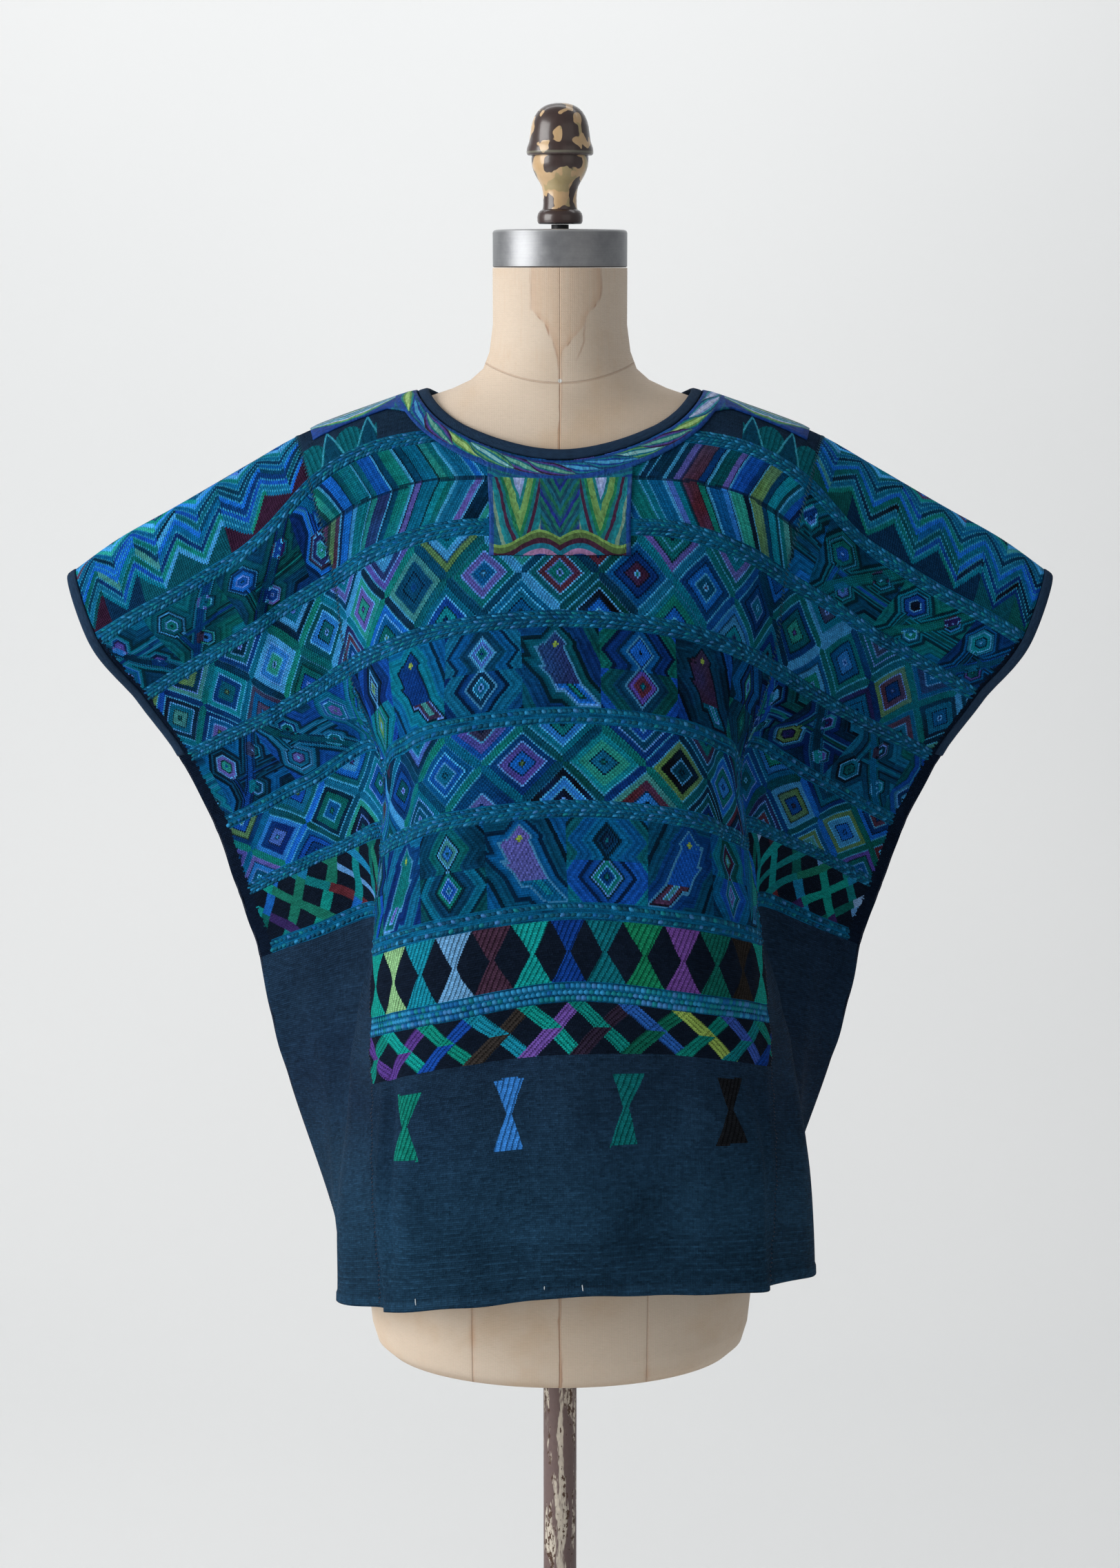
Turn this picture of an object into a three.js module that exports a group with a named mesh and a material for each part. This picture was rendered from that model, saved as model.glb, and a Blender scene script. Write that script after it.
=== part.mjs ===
import * as THREE from "three";

// A huipil of three woven lengths, worn by a limbless dress form that stands on a round base.
// Millimetres. +Z is up, the front faces -Y, and the underside of the base is at Z = 0.

// Sizes that drive the rest
const LENGTH = 680; // shoulder fold to hem, the same down the front and the back
const CENTRE_WIDTH = 390; // middle length, from seam to seam
const HALF_WIDTH = 395; // middle line of the garment to its side edge
const WALL = 1.6; // thickness of the woven cloth
const SEAM_GAP = 0.9; // the slit between two lengths at a seam
const FOLD_GAP = 0.6; // the front and the back of a length end this far apart on the shoulder fold
const NECK = { half: 94, front: 74, back: 60 }; // neck opening, measured on the flat cloth
const BINDING = { width: 7.6, thick: 3.2, gap: 0.6 };
const ARMHOLE = 186; // bound length of the arm opening, each way from the shoulder fold
const UNDERARM = 197; // the side edges are sewn to each other from here down
const RIB = { rise: 1.1, half: 6 }; // a twined band across the cloth
const POLE_RADIUS = 12.7;
const BASE_RADIUS = 200;

// Twined bands, at these distances from the shoulder fold. The widest one is on the middle length only.
const BANDS = [62, 130, 197, 265, 332, 400];
const WIDE_BAND = { from: 448, to: 464 };

// Lengthwise threads that the hang is given for, by distance from the middle of the cloth
const THREADS = [0, 90, 140, 195, 235, 300, 345, 395];

// Hang of the middle length. A row is a level along the cloth, plus down the front, minus down the back.
// level, middle y z, bust x y z, turn x y z, seam x y z
const CENTRE_ROWS = [
  [-680, 126, 783, 74, 150, 780, 97, 196, 775, 104, 144, 769],
  [-600, 125, 862, 76, 147, 859, 101, 189, 853, 109, 140, 845],
  [-508, 123, 954, 78, 142, 950, 106, 179, 942, 115, 134, 932],
  [-456, 122, 1006, 80, 138, 1002, 109, 170, 993, 120, 128, 982],
  [-400, 120, 1062, 82, 133, 1057, 113, 160, 1047, 126, 122, 1034],
  [-332, 117, 1130, 85, 128, 1124, 120, 145, 1112, 138, 116, 1096],
  [-265, 114, 1197, 87, 122, 1190, 127, 130, 1177, 153, 110, 1157],
  [-197, 110, 1264, 89, 113, 1256, 132, 112, 1240, 167, 98, 1217],
  [-130, 96, 1330, 90, 93, 1321, 137, 86, 1304, 178, 75, 1279],
  [-62, 56, 1385, 90, 54, 1373, 139, 52, 1359, 186, 48, 1338],
  [0, 0, 1405, 90, 0, 1402, 138, 0, 1387, 189, 0, 1367],
  [62, -52, 1371, 92, -47, 1370, 135, -46, 1361, 176, -44, 1336],
  [130, -75, 1308, 88, -70, 1305, 129, -61, 1290, 160, -46, 1270],
  [197, -112, 1249, 88, -102, 1238, 125, -84, 1223, 150, -52, 1207],
  [265, -138, 1186, 88, -130, 1174, 116, -108, 1158, 127, -58, 1136],
  [332, -148, 1123, 89, -140, 1112, 115, -116, 1097, 130, -70, 1081],
  [400, -151, 1052, 89, -143, 1040, 122, -118, 1026, 138, -74, 1011],
  [456, -153, 995, 89, -146, 981, 123, -122, 969, 142, -80, 954],
  [508, -154, 953, 90, -147, 942, 124, -125, 930, 143, -85, 915],
  [600, -155, 858, 88, -150, 852, 133, -130, 845, 145, -92, 834],
  [680, -155, 773, 89, -151, 768, 133, -133, 760, 140, -98, 752],
];

// Hang of a side length: level, valley x y z, wing x y z, outer x y z
const SIDE_ROWS = [
  [-680, 106, 104, 762, 138, 158, 738, 165, 130, 722],
  [-600, 112, 100, 836, 146, 154, 812, 174, 130, 798],
  [-508, 119, 95, 921, 156, 147, 898, 185, 126, 884],
  [-456, 126, 92, 970, 165, 140, 948, 196, 120, 934],
  [-400, 133, 90, 1021, 173, 128, 1000, 204, 112, 986],
  [-332, 147, 90, 1080, 190, 112, 1052, 218, 98, 1035],
  [-265, 166, 90, 1136, 209, 96, 1107, 237, 82, 1089],
  [-197, 187, 85, 1193, 228, 76, 1161, 256, 58, 1144],
  [-130, 203, 69, 1255, 250, 60, 1221, 280, 52, 1199],
  [-62, 216, 46, 1317, 268, 42, 1281, 303, 40, 1257],
  [0, 224, 0, 1347, 280, 0, 1315, 320, 0, 1293],
  [62, 208, -41, 1302, 267, -33, 1261, 304, -27, 1241],
  [130, 189, -38, 1253, 239, -25, 1220, 274, -12, 1199],
  [197, 176, -35, 1189, 219, -5, 1162, 249, 14, 1145],
  [265, 136, -25, 1148, 185, 5, 1117, 221, 32, 1094],
  [332, 131, -34, 1087, 170, 16, 1063, 207, 46, 1041],
  [400, 138, -36, 1009, 147, 28, 1016, 187, 54, 995],
  [456, 153, -44, 946, 152, 22, 948, 185, 55, 936],
  [508, 159, -50, 906, 161, 14, 897, 183, 52, 883],
  [600, 170, -58, 820, 174, 4, 812, 178, 52, 797],
  [680, 171, -62, 742, 177, 0, 728, 172, 46, 718],
];

// The side edge: level, x, y, z. Below the underarm the front and the back share one edge.
const EDGE_ROWS = [
  [-197, 283, 34, 1126],
  [-130, 308, 42, 1178],
  [-62, 335, 38, 1228],
  [0, 357, 0, 1267],
  [62, 339, -20, 1220],
  [130, 311, 5, 1175],
  [197, 283, 34, 1126],
  [265, 261, 58, 1070],
  [332, 246, 72, 1017],
  [400, 233, 80, 972],
  [456, 224, 84, 920],
  [508, 212, 92, 869],
  [600, 185, 92, 784],
  [680, 162, 84, 710],
];

// The form, one row a ring: height, half width, front depth, back depth, squareness
const FORM_ROWS = [
  [676, 118, 78, 92, 2],
  [678.5, 131, 89, 103, 2],
  [686, 139, 96, 109, 2],
  [700, 143, 100, 112, 2],
  [730, 146, 102, 114, 2],
  [780, 148, 104, 116, 2],
  [830, 142, 104, 115, 2],
  [880, 134, 102, 112, 2],
  [940, 122, 98, 101, 2],
  [1000, 113, 96, 89, 2],
  [1040, 111, 97, 84, 2],
  [1090, 117, 105, 90, 2],
  [1140, 127, 117, 99, 2],
  [1185, 137, 125, 105, 2.05],
  [1215, 143, 120, 106, 2.1],
  [1249, 150, 104, 105, 2.1],
  [1280, 157, 86, 101, 2.1],
  [1308, 164, 70, 93, 2.05],
  [1335, 171, 62, 81, 1.95],
  [1352, 176, 57, 71, 1.8],
  [1366, 179, 54, 61, 1.6],
  [1378, 149, 52, 56, 1.5],
  [1388, 121, 51, 53, 1.45],
  [1396, 95, 50.5, 51.5, 1.5],
  [1402, 77, 50, 50.5, 1.75],
  [1408, 64, 49.5, 50, 2],
  [1416, 55, 49, 49.5, 2],
  [1428, 50.5, 48.5, 49, 2],
  [1447, 48, 48, 48, 2],
  [1487, 48, 48, 48, 2],
];

const smooth = (t) => {
  const c = Math.min(Math.max(t, 0), 1);
  return c * c * (3 - 2 * c);
};

const add = (p, q, k = 1) => [p[0] + k * q[0], p[1] + k * q[1], p[2] + k * q[2]];

const cross = (p, q) => [
  p[1] * q[2] - p[2] * q[1],
  p[2] * q[0] - p[0] * q[2],
  p[0] * q[1] - p[1] * q[0],
];

const unit = (p) => {
  const size = Math.hypot(...p);
  return p.map((c) => c / size);
};

// A smooth curve through the values, which need not be evenly spaced
function curve(knots, values, at) {
  const last = knots.length - 1;
  let i = 0;
  while (i < last - 1 && at > knots[i + 1]) i += 1;
  const slope = (k) => (values[k + 1] - values[k]) / (knots[k + 1] - knots[k]);
  const tangent = (k) => {
    if (k === 0) return slope(0);
    if (k === last) return slope(last - 1);
    const before = knots[k] - knots[k - 1];
    const after = knots[k + 1] - knots[k];
    return (slope(k - 1) * after + slope(k) * before) / (before + after);
  };
  const step = knots[i + 1] - knots[i];
  const t = (at - knots[i]) / step;
  return (
    (1 + 2 * t) * (1 - t) ** 2 * values[i] +
    t * (1 - t) ** 2 * step * tangent(i) +
    t * t * (3 - 2 * t) * values[i + 1] +
    t * t * (t - 1) * step * tangent(i + 1)
  );
}

const column = (rows, k) => rows.map((row) => row[k]);

// One point of each lengthwise thread at a level along the cloth
function threadsAt(along) {
  const take = (rows, k, at) => curve(column(rows, 0), column(rows, k), at);
  const point = (rows, k, at) => [0, 1, 2].map((c) => take(rows, k + c, at));
  const edgeAt = along < -UNDERARM ? -along : along;
  return [
    [0, take(CENTRE_ROWS, 1, along), take(CENTRE_ROWS, 2, along)],
    point(CENTRE_ROWS, 3, along),
    point(CENTRE_ROWS, 6, along),
    point(CENTRE_ROWS, 9, along),
    point(SIDE_ROWS, 1, along),
    point(SIDE_ROWS, 4, along),
    point(SIDE_ROWS, 7, along),
    point(EDGE_ROWS, 1, edgeAt),
  ];
}

const levels = new Map();

// The middle of the cloth's thickness, for a place on the flat cloth
function cloth(across, along) {
  const key = along.toFixed(4);
  if (!levels.has(key)) levels.set(key, threadsAt(along));
  const threads = levels.get(key);
  const mirrored = [-threads[1][0], threads[1][1], threads[1][2]];
  const knots = [-THREADS[1], ...THREADS];
  const values = [mirrored, ...threads];
  const away = Math.abs(across);
  let [x, y, z] = [0, 1, 2].map((c) => curve(knots, column(values, c), away));
  if (across < 0) x = -x;
  // The two sewn side edges lie one behind the other
  const sewn = smooth((away - 372) / 20) * smooth((Math.abs(along) - 182) / 14);
  y -= Math.sign(along) * 1.5 * sewn;
  // Low down the cloth has slipped a little to its right and hangs higher there
  const slip = smooth((Math.abs(along) - 150) / 530);
  x += 11 * slip * (1 - smooth((away - 290) / 90));
  z += 9 * slip * Math.min(Math.max(x / 150, -1.2), 1.2);
  return [x, y, z];
}

// Unit vectors at a place on the cloth: across it, along it, and out of it
function axesAt(across, along) {
  const h = 1.5;
  const u = unit(add(cloth(across + h, along), cloth(across - h, along), -1));
  const v = unit(add(cloth(across, along + h), cloth(across, along - h), -1));
  return { u, v, out: unit(cross(v, u)) };
}

// How far a twined band, the hem's turned edge or nothing stands up from the cloth
function rise(across, along) {
  const away = Math.abs(across);
  const at = Math.abs(along);
  if (at > LENGTH - 9) return 0.8;
  if (away > 380) return 0;
  if (away < CENTRE_WIDTH / 2 && at > WIDE_BAND.from + 1 && at < WIDE_BAND.to - 1) return RIB.rise;
  // The two upper bands stop where the needlework of the neck lies over them
  const first = away < 101 ? (away < 52 ? 2 : 1) : 0;
  return BANDS.slice(first).some((band) => Math.abs(band - at) < 0.01) ? RIB.rise : 0;
}

// A closed solid from points that know their outer and inner place, and the faces between them
function shell(faces) {
  const index = new Map();
  const points = [];
  const vertex = (point) => {
    if (!index.has(point.key)) {
      index.set(point.key, points.length);
      points.push(point);
    }
    return index.get(point.key);
  };
  const quads = faces.map((face) => face.map(vertex));
  const count = points.length;
  const positions = [...points.map((p) => p.outer), ...points.map((p) => p.inner)];
  const triangles = [];
  const uses = new Map();
  for (const [a, b, c, d] of quads) {
    triangles.push([a, b, c], [a, c, d]);
    triangles.push([count + a, count + c, count + b], [count + a, count + d, count + c]);
    for (const [p, q] of [[a, b], [b, c], [c, d], [d, a]]) uses.set(`${p}_${q}`, [p, q]);
  }
  for (const [p, q] of uses.values()) {
    if (uses.has(`${q}_${p}`)) continue;
    triangles.push([q, p, count + p], [q, count + p, count + q]);
  }
  return solid(positions, triangles);
}

function solid(positions, triangles) {
  const geometry = new THREE.BufferGeometry();
  geometry.setAttribute("position", new THREE.Float32BufferAttribute(positions.flat(), 3));
  geometry.setIndex(triangles.flat());
  geometry.computeVertexNormals();
  return geometry;
}

// A place on the cloth with the wall's two faces
function place(across, along, lift = WALL / 2, thick = WALL, raised = true) {
  const { out } = axesAt(across, along);
  const middle = cloth(across, along);
  const up = lift + (raised ? rise(across, along) : 0);
  return {
    key: `${across.toFixed(3)}_${along.toFixed(3)}`,
    outer: add(middle, out, up),
    inner: add(middle, out, lift - thick),
  };
}

// Faces between neighbouring places of a grid, a list of rows that run across
function quadsOf(grid) {
  const faces = [];
  for (let i = 0; i + 1 < grid.length; i += 1) {
    for (let j = 0; j + 1 < grid[i].length; j += 1) {
      faces.push([grid[i][j], grid[i + 1][j], grid[i + 1][j + 1], grid[i][j + 1]]);
    }
  }
  return faces;
}

// Levels of the grid: some near the fold, three at a band, one between bands, and the hem
const NECK_LEVELS = [0, 8, 16, 26, 40];
const BAND_LEVELS = BANDS.flatMap((b) => [b - RIB.half, b, b + RIB.half, b + 34]).slice(0, -1);
const LOW_LEVELS = [486, 508, 542, 576, 610, 645, 669, 671.5, 680];
const CENTRE_LEVELS = [
  ...NECK_LEVELS,
  ...BAND_LEVELS,
  428,
  WIDE_BAND.from,
  WIDE_BAND.from + 2,
  WIDE_BAND.to - 2,
  WIDE_BAND.to,
  ...LOW_LEVELS,
];
const SIDE_LEVELS = [...NECK_LEVELS, ...BAND_LEVELS, 430, 458, ...LOW_LEVELS]
  .filter((level) => Math.abs(level - 164) > 30 || level <= 164)
  .concat([186])
  .sort((a, b) => a - b);

// The cut edge of the neck, under the binding's outer side
const CUT = {
  half: NECK.half + BINDING.width + BINDING.gap,
  front: NECK.front + BINDING.width + BINDING.gap,
  back: NECK.back + BINDING.width + BINDING.gap,
};

const NECK_ANGLES = [0, 15, 30, 45, 60, 75, 90].map(THREE.MathUtils.degToRad);
const NECK_COLUMNS = NECK_ANGLES.map((angle) => CUT.half * Math.sin(angle));
const mirror = (list) => [...list.slice(1).map((c) => -c).reverse(), ...list];
const CENTRE_COLUMNS = mirror([
  ...NECK_COLUMNS,
  116,
  141,
  168,
  (CENTRE_WIDTH - SEAM_GAP) / 2,
]);

// How far down the neck's cut edge lies, for a column
function neckDepth(across, down) {
  const t = Math.min(Math.abs(across) / CUT.half, 1);
  return down * Math.sqrt(Math.max(1 - t * t, 0));
}

function centrePanel(face) {
  const down = face > 0 ? CUT.front : CUT.back;
  const grid = CENTRE_LEVELS.map((level) =>
    CENTRE_COLUMNS.map((across) => {
      const top = Math.max(neckDepth(across, down), FOLD_GAP / 2);
      const along = level < 124 ? top + (level * (124 - top)) / 124 : level;
      return place(across, face * along);
    }),
  );
  return shell(quadsOf(face > 0 ? grid : grid.reverse()));
}

function sidePanel(side, face) {
  const near = (CENTRE_WIDTH + SEAM_GAP) / 2;
  const shares = [0, 0.1, 0.2, 0.33, 0.5, 0.67, 0.85, 1];
  const levelsDown = mirror(SIDE_LEVELS).filter((level) => level * face >= 0);
  const grid = levelsDown.map((level) => {
    const along = level === 0 ? face * FOLD_GAP / 2 : level;
    const bound = Math.abs(along) <= ARMHOLE + 2;
    const far = HALF_WIDTH - (bound ? BINDING.width + BINDING.gap : 0);
    const row = shares.map((share) => place(side * (near + share * (far - near)), along));
    return side < 0 ? row.reverse() : row;
  });
  return shell(quadsOf(grid));
}

// A folded strip along an edge: corner points of its section, outward from the edge and up
function bindingSection() {
  const { width, thick, gap } = BINDING;
  const h = thick / 2;
  return [
    [gap, -h + 0.2],
    [gap, h - 0.2],
    [gap + width * 0.45, h],
    [gap + width - 1.4, h - 0.1],
    [gap + width, h * 0.4],
    [gap + width, -h * 0.4],
    [gap + width - 1.4, -h + 0.1],
    [gap + width * 0.45, -h],
  ];
}

// Sweeps the binding's section along an edge, given as places on the cloth
function binding(places, away, closed) {
  const at = places.map(([u, v]) => cloth(u, v));
  const count = places.length;
  const rings = places.map(([u, v], k) => {
    const next = at[closed ? (k + 1) % count : Math.min(k + 1, count - 1)];
    const before = at[closed ? (k + count - 1) % count : Math.max(k - 1, 0)];
    const run = unit(add(next, before, -1));
    const { out } = axesAt(u, v);
    let off = unit(cross(out, run));
    if (off[0] * away(u, v)[0] + off[1] * away(u, v)[1] + off[2] * away(u, v)[2] < 0) {
      off = off.map((c) => -c);
    }
    const up = unit(cross(run, off));
    const sense = up[0] * out[0] + up[1] * out[1] + up[2] * out[2] < 0 ? -1 : 1;
    return bindingSection().map(([b, h]) => add(add(at[k], off, b), up, sense * h));
  });
  return sweep(rings, closed);
}

// Joins rings of points into a closed solid
function sweep(rings, closed) {
  const size = rings[0].length;
  const triangles = [];
  const last = closed ? rings.length : rings.length - 1;
  for (let i = 0; i < last; i += 1) {
    const here = i * size;
    const next = ((i + 1) % rings.length) * size;
    for (let j = 0; j < size; j += 1) {
      const k = (j + 1) % size;
      triangles.push([here + j, next + j, next + k], [here + j, next + k, here + k]);
    }
  }
  if (!closed) {
    const end = (rings.length - 1) * size;
    for (let j = 1; j + 1 < size; j += 1) {
      triangles.push([0, j, j + 1], [end, end + j + 1, end + j]);
    }
  }
  const positions = rings.flat();
  return solid(positions, outwards(positions, triangles));
}

// Turns a solid's triangles outwards if they face in
function outwards(positions, triangles) {
  let volume = 0;
  for (const [a, b, c] of triangles) {
    const n = cross(positions[b], positions[c]);
    volume += positions[a][0] * n[0] + positions[a][1] * n[1] + positions[a][2] * n[2];
  }
  return volume < 0 ? triangles.map(([a, b, c]) => [a, c, b]) : triangles;
}

function neckBinding() {
  const front = mirror(NECK_COLUMNS).map((u) => [u, neckDepth(u, CUT.front)]);
  const back = mirror(NECK_COLUMNS)
    .slice(1, -1)
    .reverse()
    .map((u) => [u, -neckDepth(u, CUT.back)]);
  const centre = [0, -4, 1385];
  const inward = (u, v) => add(centre, cloth(u, v), -1);
  return binding([...front, ...back], inward, true);
}

function armholeBinding(side) {
  const edge = side * (HALF_WIDTH - BINDING.width - BINDING.gap);
  const levelsDown = mirror(SIDE_LEVELS.filter((level) => level <= ARMHOLE));
  const outward = (u, v) => axesAt(u, v).u.map((c) => c * side);
  return binding(levelsDown.map((v) => [edge, v]), outward, false);
}

// Needlework round the neck: a ring, a square at the front and the back, a tongue on each shoulder.
// A row is a line of it from the neck out, for a quarter: angle at the neck, outer end across, along
const NEEDLEWORK = { lift: 3.2, thick: 1, square: 49, drop: 77, ring: 14.5 };
const TONGUE = [
  [0, 184, 0],
  [3, 184, 13],
  [6, 184, 26],
  [9, 152, 26],
  [13, 124, 25],
];

function needlework() {
  const { lift, thick, square, drop, ring } = NEEDLEWORK;
  const quarter = (down) => {
    const cut = { half: CUT.half + 0.8, down: down + 0.8 };
    const outer = { half: cut.half + ring, down: cut.down + ring };
    const bottom = down + drop - BINDING.width - BINDING.gap;
    const arc = [21, 33, 45, 56].map((angle) => {
      const a = THREE.MathUtils.degToRad(angle);
      return [angle, outer.half * Math.cos(a), outer.down * Math.sin(a)];
    });
    const corner = outer.down * Math.sqrt(1 - (square / outer.half) ** 2);
    const lines = [
      ...TONGUE,
      ...arc,
      [63, square, corner],
      [68, square, (corner + bottom) / 2],
      [73, square, bottom],
      [81, square / 2, bottom],
      [90, 0, bottom],
    ];
    return lines.map(([angle, across, along]) => {
      const a = THREE.MathUtils.degToRad(angle);
      const from = [cut.half * Math.cos(a), cut.down * Math.sin(a)];
      return { from, to: [across, along] };
    });
  };
  const turned = (lines, x, y) =>
    lines.map(({ from, to }) => ({ from: [x * from[0], y * from[1]], to: [x * to[0], y * to[1]] }));
  const front = quarter(CUT.front);
  const back = quarter(CUT.back);
  const round = [
    ...front.slice(0, -1),
    ...turned(front, -1, 1).reverse().slice(0, -1),
    ...turned(back, -1, -1).slice(0, -1),
    ...turned(back, 1, -1).reverse().slice(0, -1),
  ];
  const grid = [0, 0.25, 0.5, 0.75, 1].map((share) =>
    [...round, round[0]].map(({ from, to }) => {
      const across = from[0] + share * (to[0] - from[0]);
      const along = from[1] + share * (to[1] - from[1]);
      return place(across, along, lift, thick, false);
    }),
  );
  return shell(quadsOf(grid).map((face) => [...face].reverse()));
}

// The form: rings of a squared oval, deeper or shallower at the front and the back
function formTorso() {
  const around = 44;
  const rings = FORM_ROWS.map(([height, half, front, back, power]) =>
    Array.from({ length: around }, (_, k) => {
      const angle = (2 * Math.PI * k) / around;
      const c = Math.cos(angle);
      const s = Math.sin(angle);
      const x = half * Math.sign(c) * Math.abs(c) ** (2 / power);
      const y = (s < 0 ? front : back) * Math.sign(s) * Math.abs(s) ** (2 / power);
      return [x, y, height];
    }),
  );
  return sweep(rings, false);
}

// A turned piece: radius and height of its profile, from the axis to the axis
function turned(profile, around = 40) {
  const triangles = [];
  const positions = [[0, 0, profile[0][1]], [0, 0, profile[profile.length - 1][1]]];
  const rows = profile.slice(1, -1);
  for (const [radius, height] of rows) {
    for (let k = 0; k < around; k += 1) {
      const angle = (2 * Math.PI * k) / around;
      positions.push([radius * Math.cos(angle), radius * Math.sin(angle), height]);
    }
  }
  const at = (row, k) => 2 + row * around + (k % around);
  for (let k = 0; k < around; k += 1) {
    triangles.push([0, at(0, k + 1), at(0, k)]);
    triangles.push([1, at(rows.length - 1, k), at(rows.length - 1, k + 1)]);
    for (let row = 0; row + 1 < rows.length; row += 1) {
      triangles.push([at(row, k), at(row, k + 1), at(row + 1, k + 1)]);
      triangles.push([at(row, k), at(row + 1, k + 1), at(row + 1, k)]);
    }
  }
  return solid(positions, outwards(positions, triangles));
}

const NECK_CAP = [
  [0, 1487.4],
  [46.9, 1487.4],
  [47.9, 1488],
  [47.9, 1511.2],
  [47.1, 1512.8],
  [45.4, 1513.5],
  [0, 1513.5],
];

const STEM = [
  [0, 1513.9],
  [6.2, 1513.9],
  [6.2, 1517.2],
  [0, 1517.2],
];

const KNOB = [
  [0, 1517.6],
  [14.6, 1517.6],
  [15.9, 1518.8],
  [16.2, 1522.6],
  [15.2, 1526.2],
  [12.5, 1527.8],
  [12.1, 1532],
  [12.1, 1539],
  [12.9, 1543.5],
  [15.9, 1548.6],
  [18.8, 1554.5],
  [20.1, 1560.5],
  [20, 1565.4],
  [22.8, 1565.2],
  [23.7, 1567.2],
  [23.2, 1571],
  [21.7, 1575],
  [20.9, 1581],
  [19.4, 1588.4],
  [16, 1595],
  [10.6, 1599.3],
  [5, 1601],
  [0, 1601.4],
];

const POLE = [
  [0, 14.4],
  [POLE_RADIUS, 14.4],
  [POLE_RADIUS, 675.6],
  [0, 675.6],
];

const BASE = [
  [0, 0],
  [BASE_RADIUS, 0],
  [BASE_RADIUS, 8],
  [BASE_RADIUS - 4, 12.5],
  [150, 17],
  [70, 22],
  [38, 26],
  [31, 32],
  [28, 60],
  [25, 64],
  [POLE_RADIUS + 0.4, 64],
  [POLE_RADIUS + 0.4, 14],
  [0, 14],
];

const NODES = [
  ["center_panel_front", centrePanel(1), "#12506b"],
  ["center_panel_back", centrePanel(-1), "#12506b"],
  ["side_panel_left_front", sidePanel(-1, 1), "#0e4560"],
  ["side_panel_left_back", sidePanel(-1, -1), "#0e4560"],
  ["side_panel_right_front", sidePanel(1, 1), "#0e4560"],
  ["side_panel_right_back", sidePanel(1, -1), "#0e4560"],
  ["neck_binding", neckBinding(), "#182330"],
  ["armhole_binding_left", armholeBinding(-1), "#182330"],
  ["armhole_binding_right", armholeBinding(1), "#182330"],
  ["neck_needlework", needlework(), "#3b8f86"],
  ["form_torso", formTorso(), "#d9c6ae"],
  ["neck_cap", turned(NECK_CAP, 48), "#77797a"],
  ["finial_stem", turned(STEM, 24), "#20242a"],
  ["finial_knob", turned(KNOB, 32), "#8a7355"],
  ["pole", turned(POLE, 32), "#4a3b33"],
  ["base", turned(BASE, 48), "#2d2e30"],
];

const FABRIC = /panel|binding|needlework/;
const group = new THREE.Group();
for (const [name, geometry, color] of NODES) {
  const metal = /cap|stem|base|pole/.test(name);
  const material = new THREE.MeshStandardMaterial({
    color,
    roughness: FABRIC.test(name) ? 0.9 : 0.6,
    metalness: metal ? 0.7 : 0,
  });
  const mesh = new THREE.Mesh(geometry, material);
  mesh.name = name;
  group.add(mesh);
}

export default group;
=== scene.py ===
import math

import bmesh
import bpy
import numpy as np
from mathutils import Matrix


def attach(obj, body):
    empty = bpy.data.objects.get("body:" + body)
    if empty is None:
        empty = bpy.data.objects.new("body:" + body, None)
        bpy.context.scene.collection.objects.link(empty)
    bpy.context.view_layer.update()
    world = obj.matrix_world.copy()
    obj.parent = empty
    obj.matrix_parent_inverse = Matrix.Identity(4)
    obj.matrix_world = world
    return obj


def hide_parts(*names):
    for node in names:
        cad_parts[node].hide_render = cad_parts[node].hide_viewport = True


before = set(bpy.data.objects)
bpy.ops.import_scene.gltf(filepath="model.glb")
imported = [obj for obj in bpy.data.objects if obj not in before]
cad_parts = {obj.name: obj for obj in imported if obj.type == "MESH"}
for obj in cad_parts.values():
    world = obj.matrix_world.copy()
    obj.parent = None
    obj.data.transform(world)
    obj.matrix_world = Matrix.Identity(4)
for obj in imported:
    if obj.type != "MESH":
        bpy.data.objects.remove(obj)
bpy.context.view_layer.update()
bpy.ops.object.select_all(action="DESELECT")


# Sizes, in millimetres. The cloth is measured flat: across from the middle line, and along from the
# shoulder fold, plus down the front and minus down the back.
LENGTH = 680
SEAM = 195
SIDE_EDGE = 395
WALL = 1.6
SEAM_GAP = 0.3
NECK_CUT = {"half": 102.2, "front": 82.2, "back": 68.2}
BINDING_WIDTH = 7.6
BINDING_THICK = 3.2
BINDING_GAP = 0.6
ARMHOLE = 186
HEM_FOLD = 671

# Down from the shoulder fold: the middles of the twined bands and half the height of one, the wide band
# of the middle length, and the end of the brocade
BANDS = [62, 130, 197, 265, 332, 400]
BAND_HALF = 6
WIDE_BAND = (448, 464)
BROCADE_END = 508

# The needlework: width of its ring, half width of its squares and their drop below the neck
RING = 14.5
SQUARE = 49
DROP = 77

# The weave: height of a weft row, width of a brocading stitch, and its step from row to row
WEFT_ROW = 1.5
STITCH = 3.1
STITCH_SHIFT = 0.37


def row_middle(band):
    """The middle of the woven row below a band."""
    return (BANDS[band] + BANDS[band + 1]) / 2


# Reckoning with nodes


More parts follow.
